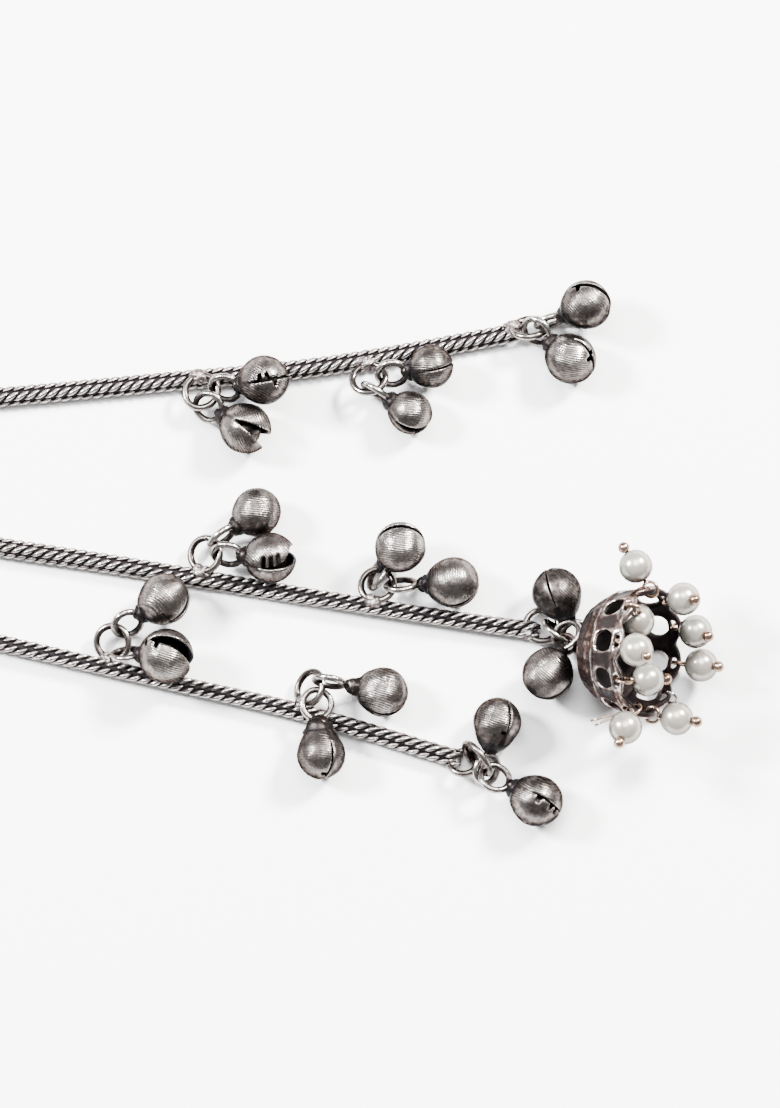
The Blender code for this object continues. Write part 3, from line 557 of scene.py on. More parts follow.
def weaveTree(look):
    # four bars every pitch along a route, rolled as the chain twists, over a dark core
    tree = bpy.data.node_groups.new("woven chain", "GeometryNodeTree")
    face = tree.interface
    face.new_socket("Route", in_out="INPUT", socket_type="NodeSocketGeometry")
    face.new_socket("Pitch", in_out="INPUT", socket_type="NodeSocketFloat")
    face.new_socket("Bar", in_out="INPUT", socket_type="NodeSocketObject")
    face.new_socket("First Roll", in_out="INPUT", socket_type="NodeSocketFloat")
    face.new_socket("Last Roll", in_out="INPUT", socket_type="NodeSocketFloat")
    face.new_socket("Core Radius", in_out="INPUT", socket_type="NodeSocketFloat")
    face.new_socket("Chain", in_out="OUTPUT", socket_type="NodeSocketGeometry")

    def add(kind, **values):
        node = tree.nodes.new(kind)
        for key, value in values.items():
            setattr(node, key, value)
        return node

    join = tree.links.new
    given = add("NodeGroupInput")
    spaced = add("GeometryNodeResampleCurve")
    spaced.mode = "LENGTH"
    join(given.outputs["Route"], spaced.inputs["Curve"])
    join(given.outputs["Pitch"], spaced.inputs["Length"])
    share = add("GeometryNodeSplineParameter")
    kept = add("GeometryNodeCaptureAttribute", domain="POINT")
    kept.capture_items.new("FLOAT", "share")
    join(spaced.outputs["Curve"], kept.inputs["Geometry"])
    join(share.outputs["Factor"], kept.inputs[1])
    points = add("GeometryNodeCurveToPoints", mode="EVALUATED")
    join(kept.outputs["Geometry"], points.inputs["Curve"])
    along = add("FunctionNodeAlignRotationToVector", axis="X")
    join(points.outputs["Tangent"], along.inputs["Vector"])
    roll = add("ShaderNodeMapRange")
    roll.inputs["From Min"].default_value = 0.5
    roll.inputs["From Max"].default_value = 1.0
    join(kept.outputs[1], roll.inputs["Value"])
    join(given.outputs["First Roll"], roll.inputs["To Min"])
    join(given.outputs["Last Roll"], roll.inputs["To Max"])
    rollTurn = add("FunctionNodeAxisAngleToRotation")
    rollTurn.inputs["Axis"].default_value = (1.0, 0.0, 0.0)
    join(roll.outputs["Result"], rollTurn.inputs["Angle"])
    turned = add("FunctionNodeRotateRotation", rotation_space="LOCAL")
    join(along.outputs["Rotation"], turned.inputs["Rotation"])
    join(rollTurn.outputs["Rotation"], turned.inputs["Rotate By"])
    shape = add("GeometryNodeObjectInfo", transform_space="ORIGINAL")
    join(given.outputs["Bar"], shape.inputs["Object"])
    both = add("GeometryNodeJoinGeometry")
    for corner in range(4):
        quarter = add("FunctionNodeRotateRotation", rotation_space="LOCAL")
        quarter.inputs["Rotate By"].default_value = (math.radians(90.0 * corner), 0.0, 0.0)
        join(turned.outputs["Rotation"], quarter.inputs["Rotation"])
        spread = add("GeometryNodeInstanceOnPoints")
        join(points.outputs["Points"], spread.inputs["Points"])
        join(shape.outputs["Geometry"], spread.inputs["Instance"])
        join(quarter.outputs["Rotation"], spread.inputs["Rotation"])
        join(spread.outputs["Instances"], both.inputs["Geometry"])
    circle = add("GeometryNodeCurvePrimitiveCircle")
    circle.inputs["Resolution"].default_value = 12
    join(given.outputs["Core Radius"], circle.inputs["Radius"])
    core = add("GeometryNodeCurveToMesh")
    core.inputs["Fill Caps"].default_value = True
    join(spaced.outputs["Curve"], core.inputs["Curve"])
    join(circle.outputs["Curve"], core.inputs["Profile Curve"])
    join(core.outputs["Mesh"], both.inputs["Geometry"])
    real = add("GeometryNodeRealizeInstances")
    join(both.outputs["Geometry"], real.inputs["Geometry"])
    coat = add("GeometryNodeSetMaterial")
    coat.inputs["Material"].default_value = look
    join(real.outputs["Geometry"], coat.inputs["Geometry"])
    result = add("NodeGroupOutput")
    join(coat.outputs["Geometry"], result.inputs["Chain"])
    return tree


def setInputs(modifier, values):
    # inputs are set by their sockets' identifiers
    for item in modifier.node_group.interface.items_tree:
        if item.item_type == "SOCKET" and item.in_out == "INPUT" and item.name in values:
            modifier[item.identifier] = values[item.name]


def strandRoute(name):
    # from the strand's eye on the gathering ring to its free end
    gather = direction(gathering["angles"][name], 0.0)
    start = gather * (gathering["ringRadius"] + gathering["slack"] + gathering["eyeRadius"])
    chosen = [Vector((start.x, start.y, chainHalf))]
    chosen += [Vector((x, y, chainHalf)) for x, y in strandRoutes[name]]
    return smoothRoute(chosen)


def weaveStrand(name, bar, tree):
    route = strandRoute(name)
    curve = bpy.data.curves.new("route " + name, "CURVE")
    curve.dimensions = "3D"
    spline = curve.splines.new("POLY")
    spline.points.add(len(route) - 1)
    for item, point in zip(spline.points, route):
        item.co = (*(drawingPlace + point * mm), 1.0)
    guide = bpy.data.objects.new("route " + name, curve)
    bpy.context.scene.collection.objects.link(guide)
    weave = guide.modifiers.new("weave", "NODES")
    weave.node_group = tree
    firstRoll, lastRoll = wovenChain["twists"][name]
    setInputs(weave, {
        "Pitch": wovenChain["pitch"] * mm, "Bar": bar, "Core Radius": wovenChain["coreRadius"] * mm,
        "First Roll": math.radians(-firstRoll), "Last Roll": math.radians(-lastRoll),
    })
    guide.update_tag()
    bpy.context.view_layer.update()
    evaluated = guide.evaluated_get(bpy.context.evaluated_depsgraph_get())
    mesh = bpy.data.meshes.new_from_object(evaluated)
    guide.modifiers.clear()
    bpy.data.objects.remove(guide)
    bpy.data.curves.remove(curve)
    mesh.shade_smooth()
    showPiece("woven_strand_" + name, mesh, "woven", ["strand_" + name])
    print("woven strand", name, len(mesh.polygons), "faces")


# Bells, rings and solder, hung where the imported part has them

hungRing = {"radius": 2.0, "wire": 0.42, "solder": 0.85, "solderShare": 0.25}
# Two blobs of solder hold each ring: one seated on the strand, and a smaller one beside it
solderBlobs = {"seated": 1.08, "beside": 0.75, "back": 0.4, "sideways": 0.1}
linkRing = {"radius": 2.0, "wire": 0.40}
bell = {
    "radius": 3.0, "wall": 0.4, "seat": 0.2, "slit": 0.4, "neck": 0.95, "neckSeat": 0.25,
    "neckStretch": 0.85, "neckLump": 1.04, "collar": 1.30, "collarSink": 0.05, "loop": 1.75,
    "loopWire": 0.40, "columns": 40, "reach": 12, "pellet": 0.6, "pelletDrop": 0.9,
    "steps": (0.14, 0.30, 0.46, 0.60, 0.72, 0.83, 0.93, 1.0), "dented": 0.020, "pullFrom": 0.45,
    "lipFrom": 0.8, "lipSwell": 0.018, "seamFrom": 0.95, "seamDepth": 0.008,
}
# Brightness that a bell gains at its lips and loses at its seam and neck; below is painted shade,
# the darkening of its underside and of the sides that face away from above; inside is the value in
# its hollow
bellWearAndShade = {"lips": 0.20, "seam": 0.35, "neck": 0.6, "neckFrom": 0.8, "below": 0.42, "inside": -0.4}

# A row for each ring, from the gathering ring outwards. At is its share of the strand's length from
# the free end, off its centre from the strand (along, left and up, as shares of its reach), and
# facing the heading and pitch of its axis. A link is a further ring, hung in the first. A bell's
# loop stands off the ring that carries it, and its aim, roll, neck and size place the bell. Then
# come the slit's turn and width, and its gape on each side, with flare as the power that it closes
# by. Notches are columns from the slit's middle with their side, and notchFrom the step where they
# start. Pear is the pull towards the neck, lines the axis that the bell was turned on, and the last
# value its starting brightness, which its lips raise and which its seam, its neck and the painted
# shade on its underside lower.
hangerDefaults = {"size": 1.0, "link": None, "dome": None}
bellDefaults = {
    "neck": 0.0, "size": 1.0, "bigNeck": 1.0, "gape": (0.0, 0.0), "flare": 1.0, "notches": (),
    "notchFrom": 5,
}
hangers = {
    "top": [
        {"at": 0.315, "off": (0.0, -0.59, 0.41), "facing": (-30, 97), "bells": [
            {"off": (0.76, 0.08, 0.17), "aim": (6, 24), "roll": -46,
             "slit": (76, 0.55), "gape": (0.0, 0.12), "notches": ((8, 1), (6, 1), (4, -1)),
             "pear": 0.10, "lines": (0.5, 0.9, 0.2), "wearAndShade": 0.46},
            {"off": (0.24, -0.50, -0.02), "aim": (-32, 7), "roll": 140, "size": 1.03,
             "slit": (85, 0.3), "gape": (0.95, 0.80), "flare": 1.4,
             "pear": 0.10, "lines": (0.9, 0.4, 0.1), "wearAndShade": 0.60},
        ]},
        {"at": 0.148, "off": (0.0, -0.84, 0.45), "facing": (125, 69), "bells": [
            {"off": (0.73, 0.11, 0.20), "aim": (9, 7), "roll": -54, "size": 0.88,
             "slit": (67, 0.3), "gape": (0.0, 0.05),
             "pear": 0.12, "lines": (0.0, 1.0, 0.3), "wearAndShade": 0.42},
            {"off": (0.22, -0.46, 0.09), "aim": (-31, -4), "roll": -92, "size": 0.88,
             "slit": (32, 1.0), "gape": (0.1, 0.45), "notches": ((4, -1),),
             "pear": 0.10, "lines": (0.1, 1.0, 0.2), "wearAndShade": 0.62},
        ]},
        {"at": 0.0, "off": (0.73, -0.02, 0.43), "facing": (97, 46), "bells": [
            {"off": (0.23, -0.17, 0.21), "aim": (-39, -3), "roll": -55, "size": 1.02,
             "slit": (-52, 0.8), "gape": (0.0, 0.1), "notches": ((6, 1), (7, -1)),
             "pear": 0.10, "lines": (0.2, 1.0, 0.4), "wearAndShade": 0.64},
            {"off": (0.66, 0.26, -0.14), "aim": (18, 30), "roll": -86,
             "slit": (-42, 1.0), "gape": (0.05, 0.25), "notches": ((9, 1),),
             "pear": 0.12, "lines": (0.7, 0.7, 0.3), "wearAndShade": 0.50},
        ]},
    ],
    "middle": [
        {"at": 0.329, "off": (0.0, 0.89, 0.30), "facing": (184, 62), "bells": [
            {"off": (0.54, 0.53, 0.21), "aim": (36, 2), "roll": -82, "size": 0.97,
             "slit": (-30, 0.7), "gape": (0.0, 0.1),
             "pear": 0.10, "lines": (0.1, 1.0, 0.2), "wearAndShade": 0.60},
            {"off": (0.72, -0.07, 0.31), "aim": (-7, 10), "roll": -60, "size": 1.03,
             "slit": (52, 0.5), "gape": (1.7, 0.1), "flare": 5.0,
             "notches": ((10, 1), (8, 1), (6, 1)), "notchFrom": 4,
             "pear": 0.08, "lines": (0.8, 0.6, 0.1), "wearAndShade": 0.52},
        ]},
        {"at": 0.157, "off": (0.0, 0.80, 0.20), "facing": (118, 78), "bells": [
            {"off": (0.02, 0.33, 0.07), "aim": (46, 36), "roll": 55, "neck": -0.53, "size": 1.02,
             "slit": (-32, 1.2), "gape": (0.0, 0.2),
             "pear": 0.06, "lines": (0.15, 1.0, 0.2), "wearAndShade": 0.66},
            {"off": (0.76, -0.02, 0.12), "aim": (1, 8), "roll": 58, "neck": 1.09, "size": 1.03,
             "slit": (14, 0.8), "gape": (0.0, 0.2),
             "pear": 0.14, "lines": (1.0, 0.1, 0.2), "wearAndShade": 0.58},
        ]},
        {"at": 0.0, "off": (0.35, 0.22, -0.04), "facing": (114, 83),
         "link": {"node": "drop_ring", "off": (0.46, -0.27, 0.28), "facing": (49, 20), "size": 1.0},
         "dome": (0.255, -0.483, 0.148),
         "bells": [
            {"off": (0.60, -0.08, -0.16), "aim": (116, 22), "roll": 10, "neck": 0.69,
             "slit": (-69, 0.4), "pear": 0.22, "lines": (0.6, 0.6, 0.2), "wearAndShade": 0.30},
            {"off": (0.26, -0.19, 0.52), "aim": (-115, 1), "roll": -36, "neck": -0.08, "size": 1.03,
             "slit": (-17, 0.8), "gape": (0.05, 0.15), "notches": ((11, -1),),
             "pear": 0.08, "lines": (0.7, 0.7, 0.3), "wearAndShade": 0.56},
        ]},
    ],
    "bottom": [
        {"at": 0.366, "off": (0.0, 0.94, 0.19), "facing": (222, 70), "bells": [
            {"off": (0.48, 0.55, 0.30), "aim": (33, 9), "roll": 127, "size": 1.03,
             "slit": (16, 1.3), "gape": (0.1, 0.3),
             "pear": 0.12, "lines": (-0.6, -0.8, 0.3), "wearAndShade": 0.60},
            {"off": (0.45, -0.42, 0.24), "aim": (-9, 28), "roll": -124, "size": 1.10,
             "slit": (-66, 1.3), "gape": (0.25, 0.75), "notches": ((13, 1), (10, 1)),
             "pear": 0.05, "lines": (0.3, 0.9, 0.2), "wearAndShade": 0.56},
        ]},
        {"at": 0.160, "off": (0.0, 0.90, 0.35), "facing": (171, 49), "bells": [
            {"off": (0.62, 0.14, 0.33), "aim": (-10, -5), "roll": -84, "neck": 1.37,
             "slit": (15, 0.8), "gape": (0.0, 0.25),
             "pear": 0.12, "lines": (0.3, 1.0, 0.25), "wearAndShade": 0.60},
            {"off": (0.22, -0.56, 0.16), "aim": (-85, 1), "roll": 3, "neck": 1.06, "size": 0.98,
             "slit": (-61, 0.4), "notches": ((3, 1),),
             "pear": 0.26, "lines": (0.1, 1.0, 0.1), "wearAndShade": 0.52, "bigNeck": 1.5},
        ]},
        {"at": 0.0, "off": (0.41, -0.06, 0.05), "facing": (106, 61), "size": 0.875,
         "link": {"node": "link_ring", "off": (0.40, 0.03, 0.44), "facing": (40, -10), "size": 1.1},
         "bells": [
            {"off": (0.29, -0.26, -0.34), "aim": (77, 12), "roll": -45, "neck": 0.69, "size": 0.97,
             "slit": (57, 0.35), "notches": ((12, 1),),
             "pear": 0.30, "lines": (0.3, 1.0, 0.2), "wearAndShade": 0.52},
            {"off": (0.54, -0.60, 0.03), "aim": (-29, -1), "roll": 27, "neck": 0.45, "size": 1.03,
             "slit": (-86, 0.35), "notches": ((10, 1), (6, 1), (4, 1)),
             "pear": 0.14, "lines": (0.3, 0.9, 0.3), "wearAndShade": 0.50},
        ]},
    ],
}


def bellShell(radius, row, axis, upward, seed):
    # a hollow ball about its own X, open along a slit on the far side from its neck (+Z)
    bm = newMesh()
    columns = bell["columns"]
    steps = bell["steps"]
    reach = bell["reach"]
    middle = columns // 2
    half = bell["slit"] * row["slit"][1] / 2
    opened = set(range(middle - reach, middle + reach))
    # notches stand on the half of the slit that shows from above, which the sign of its turn tells
    shown = 1 if row["slit"][0] > 0 else -1
    cuts = {1: set(), -1: set()}
    for far, side in row["notches"]:
        cuts[side].add(middle + shown * far)
    low = row["notchFrom"]

    def lip(side, column, size):
        # angle of the slit's edge, which closes in from its middle to its ends
        nearMiddle = math.cos(math.pi * min(1.0, abs(column - middle) / reach) / 2) ** 0.8
        gape = row["gape"][0 if side > 0 else 1] * nearMiddle ** row["flare"]
        return math.pi / 2 - math.asin((half * min(1.0, 2.2 * nearMiddle + 0.1) + gape) / size)

    def rubbed(unit, nearLip, onSeam):
        neckDirt = max(0.0, unit.z - bellWearAndShade["neckFrom"]) / (1.0 - bellWearAndShade["neckFrom"])
        # painted shade: darker as the surface turns away from above, most on the underside
        below = min(1.0, max(0.0, 0.55 - unit.dot(upward)) / 0.6)
        wearAndShade = row["wearAndShade"] + bellWearAndShade["lips"] * nearLip ** 2
        wearAndShade -= bellWearAndShade["neck"] * neckDirt + bellWearAndShade["below"] * below
        return wearAndShade - (bellWearAndShade["seam"] if onSeam else 0.0)

    def ringAt(size, side, step, isOuter):
        ring = []
        for column in range(columns):
            a = 2 * math.pi * column / columns
            polar = lip(side, column, size) * step
            polar = polar if side > 0 else math.pi - polar
            across = math.sin(polar)
            unit = Vector((math.cos(polar), across * math.sin(a), across * math.cos(a)))
            swell = 1.0 + bell["dented"] * noise.noise(unit * 1.4 + Vector((seed, seed * 0.3, 0.0)))
            wearAndShade = bellWearAndShade["inside"]
            if isOuter:
                isOpen = column in opened
                nearLip = max(0.0, step - bell["lipFrom"]) / (1.0 - bell["lipFrom"]) if isOpen else 0.0
                onSeam = step > bell["seamFrom"] and not isOpen
                pulled = max(0.0, unit.z - bell["pullFrom"]) / (1.0 - bell["pullFrom"])
                swell += row["pear"] * pulled ** 2 + bell["lipSwell"] * nearLip
                swell -= bell["seamDepth"] if onSeam else 0.0
                wearAndShade = rubbed(unit, nearLip, onSeam)
            ring.append(addPoint(bm, unit * size * swell, wearAndShade, unit.dot(axis) * size))
        return ring

    shells = []
    for size, isOuter in ((radius, True), (radius - bell["wall"], False)):
        sides = {}
        for side in (1, -1):
            rings = [ringAt(size, side, step, isOuter) for step in steps]
            tipWorn = row["wearAndShade"] if isOuter else bellWearAndShade["inside"]
            tip = addPoint(bm, Vector((size * side, 0.0, 0.0)), tipWorn, axis.x * size * side)
            addFan(bm, rings[0], tip)
            for i in range(len(rings) - 1):
                addBand(bm, rings[i], rings[i + 1], cuts[side] if i >= low else ())
            sides[side] = rings
        addBand(bm, sides[1][-1], sides[-1][-1], opened)
        shells.append(sides)
    outer, inner = shells

    def closeEdge(first, second):
        # a face through the wall along one edge, whose ends are each a side, a step and a column
        (sideA, stepA, columnA), (sideB, stepB, columnB) = first, second
        a = outer[sideA][stepA][columnA]
        b = outer[sideB][stepB][columnB]
        bm.faces.new((a, b, inner[sideB][stepB][columnB], inner[sideA][stepA][columnA]))

    last = len(steps) - 1
    for side in (1, -1):
        for column in opened:
            k = (column + 1) % columns
            i = low if column in cuts[side] else last
            closeEdge((side, i, column), (side, i, k))
            for edge, neighbour in ((column, column - 1), (k, k)):
                if column in cuts[side] and neighbour not in cuts[side]:
                    for i in range(low, last):
                        closeEdge((side, i, edge), (side, i + 1, edge))
    for edge in (middle - reach, middle + reach):
        closeEdge((1, last, edge), (-1, last, edge))
    return refined(bm, "bell shell")


def hangBell(name, row, carrier, loopReach, seed):
    # a bell on its neck and wire loop, hung in the ring at carrier, with its pellet lying inside
    loopCentre = carrier + Vector(row["off"]) * loopReach
    heading, pitch = row["aim"]
    aim = direction(heading, pitch)
    drawn = row["neck"] * bell["neck"]
    neck = loopCentre + aim * (bell["loop"] + bell["neckSeat"] + min(drawn, bell["neckStretch"]))
    radius = bell["radius"] * row["size"]
    centre = neck + aim * (radius + bell["seat"] + max(0.0, drawn - bell["neckStretch"]))
    matrix = placed(centre, -aim, rolledNormal(heading, pitch, row["slit"][0]))
    toLocal = matrix.to_3x3().inverted()
    bm = bellShell(radius, row, toLocal @ Vector(row["lines"]).normalized(), toLocal @ up, seed)
    bm.transform(matrix)
    neckSize = bell["neck"] * row["bigNeck"]
    collar = centre - aim * (radius - bell["collarSink"])
    ballOf(bm, neckSize * bell["neckLump"], neck, aim, lump=0.22, seed=seed, wearAndShade=0.30)
    size = neckSize * bell["collar"]
    ballOf(bm, size, collar, aim, (22, 12), 0.85, lump=0.18, seed=seed + 3.0, wearAndShade=0.12)
    pellet = bell["pellet"] * radius
    lying = centre - up * (radius - bell["wall"] - pellet) * bell["pelletDrop"]
    ballOf(bm, pellet, lying, up, (24, 14), lump=0.05, seed=seed, wearAndShade=0.34)
    loopAxis = rolledNormal(heading, pitch, row["roll"])
    wireLoop(bm, bell["loop"], bell["loopWire"], loopCentre, loopAxis, aim, (36, 10), 0.015, seed=seed)
    showShape("turned_bell_" + name, bm, "bell", ["bell_" + name])


def strandFittings(name):
    # the eye on the gathering ring, the soldered rings, their solder, and what hangs from them
    route = strandRoute(name)
    length = sum((route[i + 1] - route[i]).length for i in range(len(route) - 1))
    wires = newMesh()
    solder = newMesh()
    blob = hungRing["solder"]
    gather = direction(gathering["angles"][name], 0.0)
    eye = gather * (gathering["ringRadius"] + gathering["slack"])
    eye.z = ringHeight
    square = gather.cross(up)
    wireLoop(wires, gathering["eyeRadius"], gathering["eyeWire"], eye, square, gather, stray=0.02)
    ballOf(solder, blob, eye + gather * gathering["eyeRadius"], gather, stretch=1.2, lump=0.25, seed=5.0)
    for number, given in enumerate(hangers[name]):
        row = {**hangerDefaults, **given}
        seed = 1.7 * number + len(name)
        radius = hungRing["radius"] * row["size"]
        onStrand, along = pointAlong(route, length * (1.0 - row["at"]))
        left = up.cross(along)
        off = along * row["off"][0] + left * row["off"][1] + up * row["off"][2]
        centre = onStrand + off * (hungRing["radius"] + chainHalf)
        axis = direction(*row["facing"])
        toStrand = onStrand - centre
        toStrand = (toStrand - axis * toStrand.dot(axis)).normalized()
        touch = centre + toStrand * radius
        wireLoop(wires, radius, hungRing["wire"], centre, axis, toStrand, (40, 12), 0.015, seed=seed)
        seat = touch.lerp(onStrand, hungRing["solderShare"])
        ballOf(solder, blob * solderBlobs["seated"], seat, along, (28, 18), 1.25, lump=0.34, seed=seed)
        beside = touch - along * solderBlobs["back"] + left * solderBlobs["sideways"]
        size = blob * solderBlobs["beside"]
        ballOf(solder, size, beside, toStrand, (24, 14), 1.1, lump=0.3, seed=seed + 2.0)
        carrier = centre
        carrierRadius = radius
        link = row["link"]
        if link:
            carrierRadius = linkRing["radius"] * link["size"]
            carrier = centre + Vector(link["off"]) * (radius + carrierRadius)
            loose = newMesh()
            facing = direction(*link["facing"])
            wireLoop(loose, carrierRadius, linkRing["wire"], carrier, facing, facets=(44, 12))
            showShape("wire_" + link["node"], loose, "wire", [link["node"]])
        if row["dome"]:
            dressDome(carrier + Vector(row["dome"]) * (carrierRadius + dome["crownLoop"]))
        for letter, seedStep, bellRow in zip("ab", (6.0, 0.0), row["bells"]):
            bellName = name + "_" + str(number + 1) + "_" + letter
            loopReach = carrierRadius + bell["loop"]
            hangBell(bellName, {**bellDefaults, **bellRow}, carrier, loopReach, seed + seedStep)
    showShape("soldered_rings_" + name, wires, "wire")
    showShape("solder_" + name, solder, "solder")
    print("rings, solder and bells of the", name, "strand")


# Pierced dome with its pearls

dome = {
    "radius": 7.8, "depth": 9.3, "wall": 0.7, "heading": -11.5, "pitch": 27.6, "lobes": 10,
    "firstLobe": 23.5, "crownBead": 0.95, "crownSeat": 0.63, "crownLoop": 1.25, "crownLoopSeat": 0.79,
    "crownWire": 0.3, "strip": 0.45, "columns": 8, "scallop": 1.0,
    "scallops": (1.0, 0.92, 0.8, 0.5, 0.2, 0.08),
    "holeRimRise": 0.18, "holeRimWorn": 0.50, "laceSink": 0.14, "laceDark": 0.34, "leafRise": 0.26,
    "leafSink": 0.14, "leafWorn": 0.22, "dented": 0.010, "thickFrom": 4.5, "thicken": 1.6, "inside": -0.4,
}
# Bands of the dome from rim to crown: depth, radius, brightness, and the half width of the hole
# whose edge runs there (0 for none)
domeBands = [
    {"depth": 0.00, "radius": 7.85, "wearAndShade": 1.00, "hole": 0.0},
    {"depth": 0.20, "radius": 7.92, "wearAndShade": 0.80, "hole": 0.0},
    {"depth": 0.40, "radius": 7.84, "wearAndShade": 0.85, "hole": 0.45},
    {"depth": 0.85, "radius": 7.82, "wearAndShade": 0.60, "hole": 0.72},
    {"depth": 1.30, "radius": 7.80, "wearAndShade": 0.85, "hole": 0.45},
    {"depth": 1.48, "radius": 7.84, "wearAndShade": 0.70, "hole": 0.0},
    {"depth": 1.66, "radius": 7.78, "wearAndShade": 0.90, "hole": 0.55},
    {"depth": 2.20, "radius": 7.68, "wearAndShade": 0.50, "hole": 1.25},
    {"depth": 3.00, "radius": 7.45, "wearAndShade": 0.50, "hole": 1.40},
    {"depth": 3.70, "radius": 7.20, "wearAndShade": 0.60, "hole": 1.15},
    {"depth": 4.15, "radius": 7.08, "wearAndShade": 0.90, "hole": 0.60},
    {"depth": 4.40, "radius": 7.02, "wearAndShade": 0.45, "hole": 0.0},
    {"depth": 4.62, "radius": 7.12, "wearAndShade": 0.95, "hole": 0.0},
    {"depth": 4.86, "radius": 6.82, "wearAndShade": 0.25, "hole": 0.0},
    {"depth": 5.60, "radius": 6.58, "wearAndShade": 0.62, "hole": 0.0},
    {"depth": 6.50, "radius": 5.90, "wearAndShade": 0.26, "hole": 0.0},
    {"depth": 7.20, "radius": 5.32, "wearAndShade": 0.30, "hole": 0.0},
    {"depth": 7.42, "radius": 5.36, "wearAndShade": 0.85, "hole": 0.0},
    {"depth": 7.66, "radius": 4.80, "wearAndShade": 0.22, "hole": 0.0},
    {"depth": 8.35, "radius": 3.60, "wearAndShade": 0.28, "hole": 0.0},
    {"depth": 8.60, "radius": 3.20, "wearAndShade": 0.80, "hole": 0.0},
    {"depth": 8.78, "radius": 2.70, "wearAndShade": 0.25, "hole": 0.0},
    {"depth": 9.15, "radius": 1.50, "wearAndShade": 0.40, "hole": 0.0},
]
domeHoles = ((2, 4), (6, 10))  # first and last band of each row of holes; the second is the lace
domeLeaves = (13, 16)  # bands that carry the pressed leaves


def domeWall(bm, matrix, inset, isOuter):
    # rings of points round one side of the wall; the columns beside a lobe's middle edge its holes
    rings = []
    lobe = 2 * math.pi / dome["lobes"]
    columns = dome["columns"]
    middle = columns // 2
    laceFirst, laceLast = domeHoles[1]
    for row, band in enumerate(domeBands):
        ring = []
        for column in range(dome["lobes"] * columns):
            place = column % columns
            centreTurn = math.radians(dome["firstLobe"]) + lobe * (column - place) / columns
            spread = (place - middle) / columns
            turn = centreTurn + lobe * spread
            besideHole = band["hole"] > 0 and abs(place - middle) <= 2
            if besideHole:
                turn = centreTurn + band["hole"] / band["radius"] * (place - middle) / 2
            drop = band["depth"]
            if row < len(dome["scallops"]):
                drop += dome["scallop"] * abs(spread * 2) ** 2.2 * dome["scallops"][row]
            wearAndShade = band["wearAndShade"] if isOuter else dome["inside"]
            reach = band["radius"] - inset
            if isOuter and domeLeaves[0] <= row <= domeLeaves[1]:
                leaf = math.cos(math.pi * spread * 2) ** 2
                reach += dome["leafRise"] * leaf - dome["leafSink"]
                wearAndShade += dome["leafWorn"] * max(0.0, 1 - abs(leaf - 0.45) * 3.2)
            if isOuter and besideHole:
                wearAndShade += dome["holeRimWorn"]
                reach += dome["holeRimRise"]
            elif isOuter and laceFirst <= row <= laceLast:
                reach -= dome["laceSink"]
                wearAndShade -= dome["laceDark"]
            grain = Vector((math.cos(turn) * 2, math.sin(turn) * 2, drop * 0.6))
            reach *= 1.0 + dome["dented"] * noise.noise(grain)
            thicker = inset * max(0.0, (drop - dome["thickFrom"]) / dome["depth"]) * dome["thicken"]
            point = Vector((reach * math.cos(turn), reach * math.sin(turn), thicker - drop))
            ring.append(addPoint(bm, matrix @ point, wearAndShade))
        rings.append(ring)
    return rings


def dressDome(crownLoop):
    # the pierced dome hung by its crown loop, then its pearls
    axis = direction(dome["heading"], dome["pitch"])
    crownReach = dome["depth"] + dome["crownBead"] * dome["crownSeat"]
    crownRise = dome["crownBead"] * dome["crownLoopSeat"] + dome["crownLoop"]
    mouth = crownLoop + axis * (crownReach + crownRise)
    heading = math.radians(dome["heading"])
    side = Vector((-math.sin(heading), math.cos(heading), 0.0))
    matrix = placed(mouth, axis, side)
    bm = newMesh()
    outer = domeWall(bm, matrix, 0.0, True)
    inner = domeWall(bm, matrix, dome["wall"], False)
    columns = dome["columns"]
    middle = columns // 2
    total = len(outer[0])
    across = range(middle - 2, middle + 2)
    opened = {c for c in range(total) if c % columns in across}
    for row in range(len(domeBands) - 1):
        skip = opened if any(first <= row < last for first, last in domeHoles) else ()
        addBand(bm, outer[row], outer[row + 1], skip)
        addBand(bm, inner[row], inner[row + 1], skip)
    addBand(bm, outer[0], inner[0])
    addFan(bm, outer[-1], addPoint(bm, matrix @ Vector((0, 0, -dome["depth"])), 0.4))
    roof = Vector((0, 0, dome["wall"] - dome["depth"]))
    addFan(bm, inner[-1], addPoint(bm, matrix @ roof, dome["inside"]))
    for first, last in domeHoles:
        for lobe in range(dome["lobes"]):
            start = lobe * columns + middle
            path = [(first, start + k) for k in range(-2, 3)]
            path += [(row, start + 2) for row in range(first + 1, last)]
            path += [(last, start + k) for k in range(2, -3, -1)]
            path += [(row, start - 2) for row in range(last - 1, first, -1)]
            edges = [(outer[row][c % total], inner[row][c % total]) for row, c in path]
            for (outerA, innerA), (outerB, innerB) in zip(edges, edges[1:] + edges[:1]):
                bm.faces.new((outerA, outerB, innerB, innerA))
    whole = refined(bm, "dome wall")
    ballOf(whole, dome["crownBead"], mouth - axis * crownReach, axis, (24, 14), lump=0.06, seed=2.0)
    wireLoop(whole, dome["crownLoop"], dome["crownWire"], crownLoop, axis.cross(side), axis, (36, 12))
    showShape("pierced_dome", whole, "dome", ["dome"])
    print("pierced dome")
    hangPearls(matrix, axis)


pearl = {
    "radius": 2.0, "bore": 0.30, "play": 0.1, "wire": 0.2, "hang": 0.2, "loop": 0.95, "head": 0.68,
    "headSeat": 0.78, "rows": 20, "sides": 32, "dented": 0.012,
}
# A pin's tail, wrapped round its stem under the pearl, and the ends that were cut long
wrap = {"turns": 2, "steps": 18, "wire": 0.12, "reach": 0.3, "below": 0.12, "rise": 0.2}
longEnd = {"wire": 0.14, "from": 0.9, "pitch": -3.0}
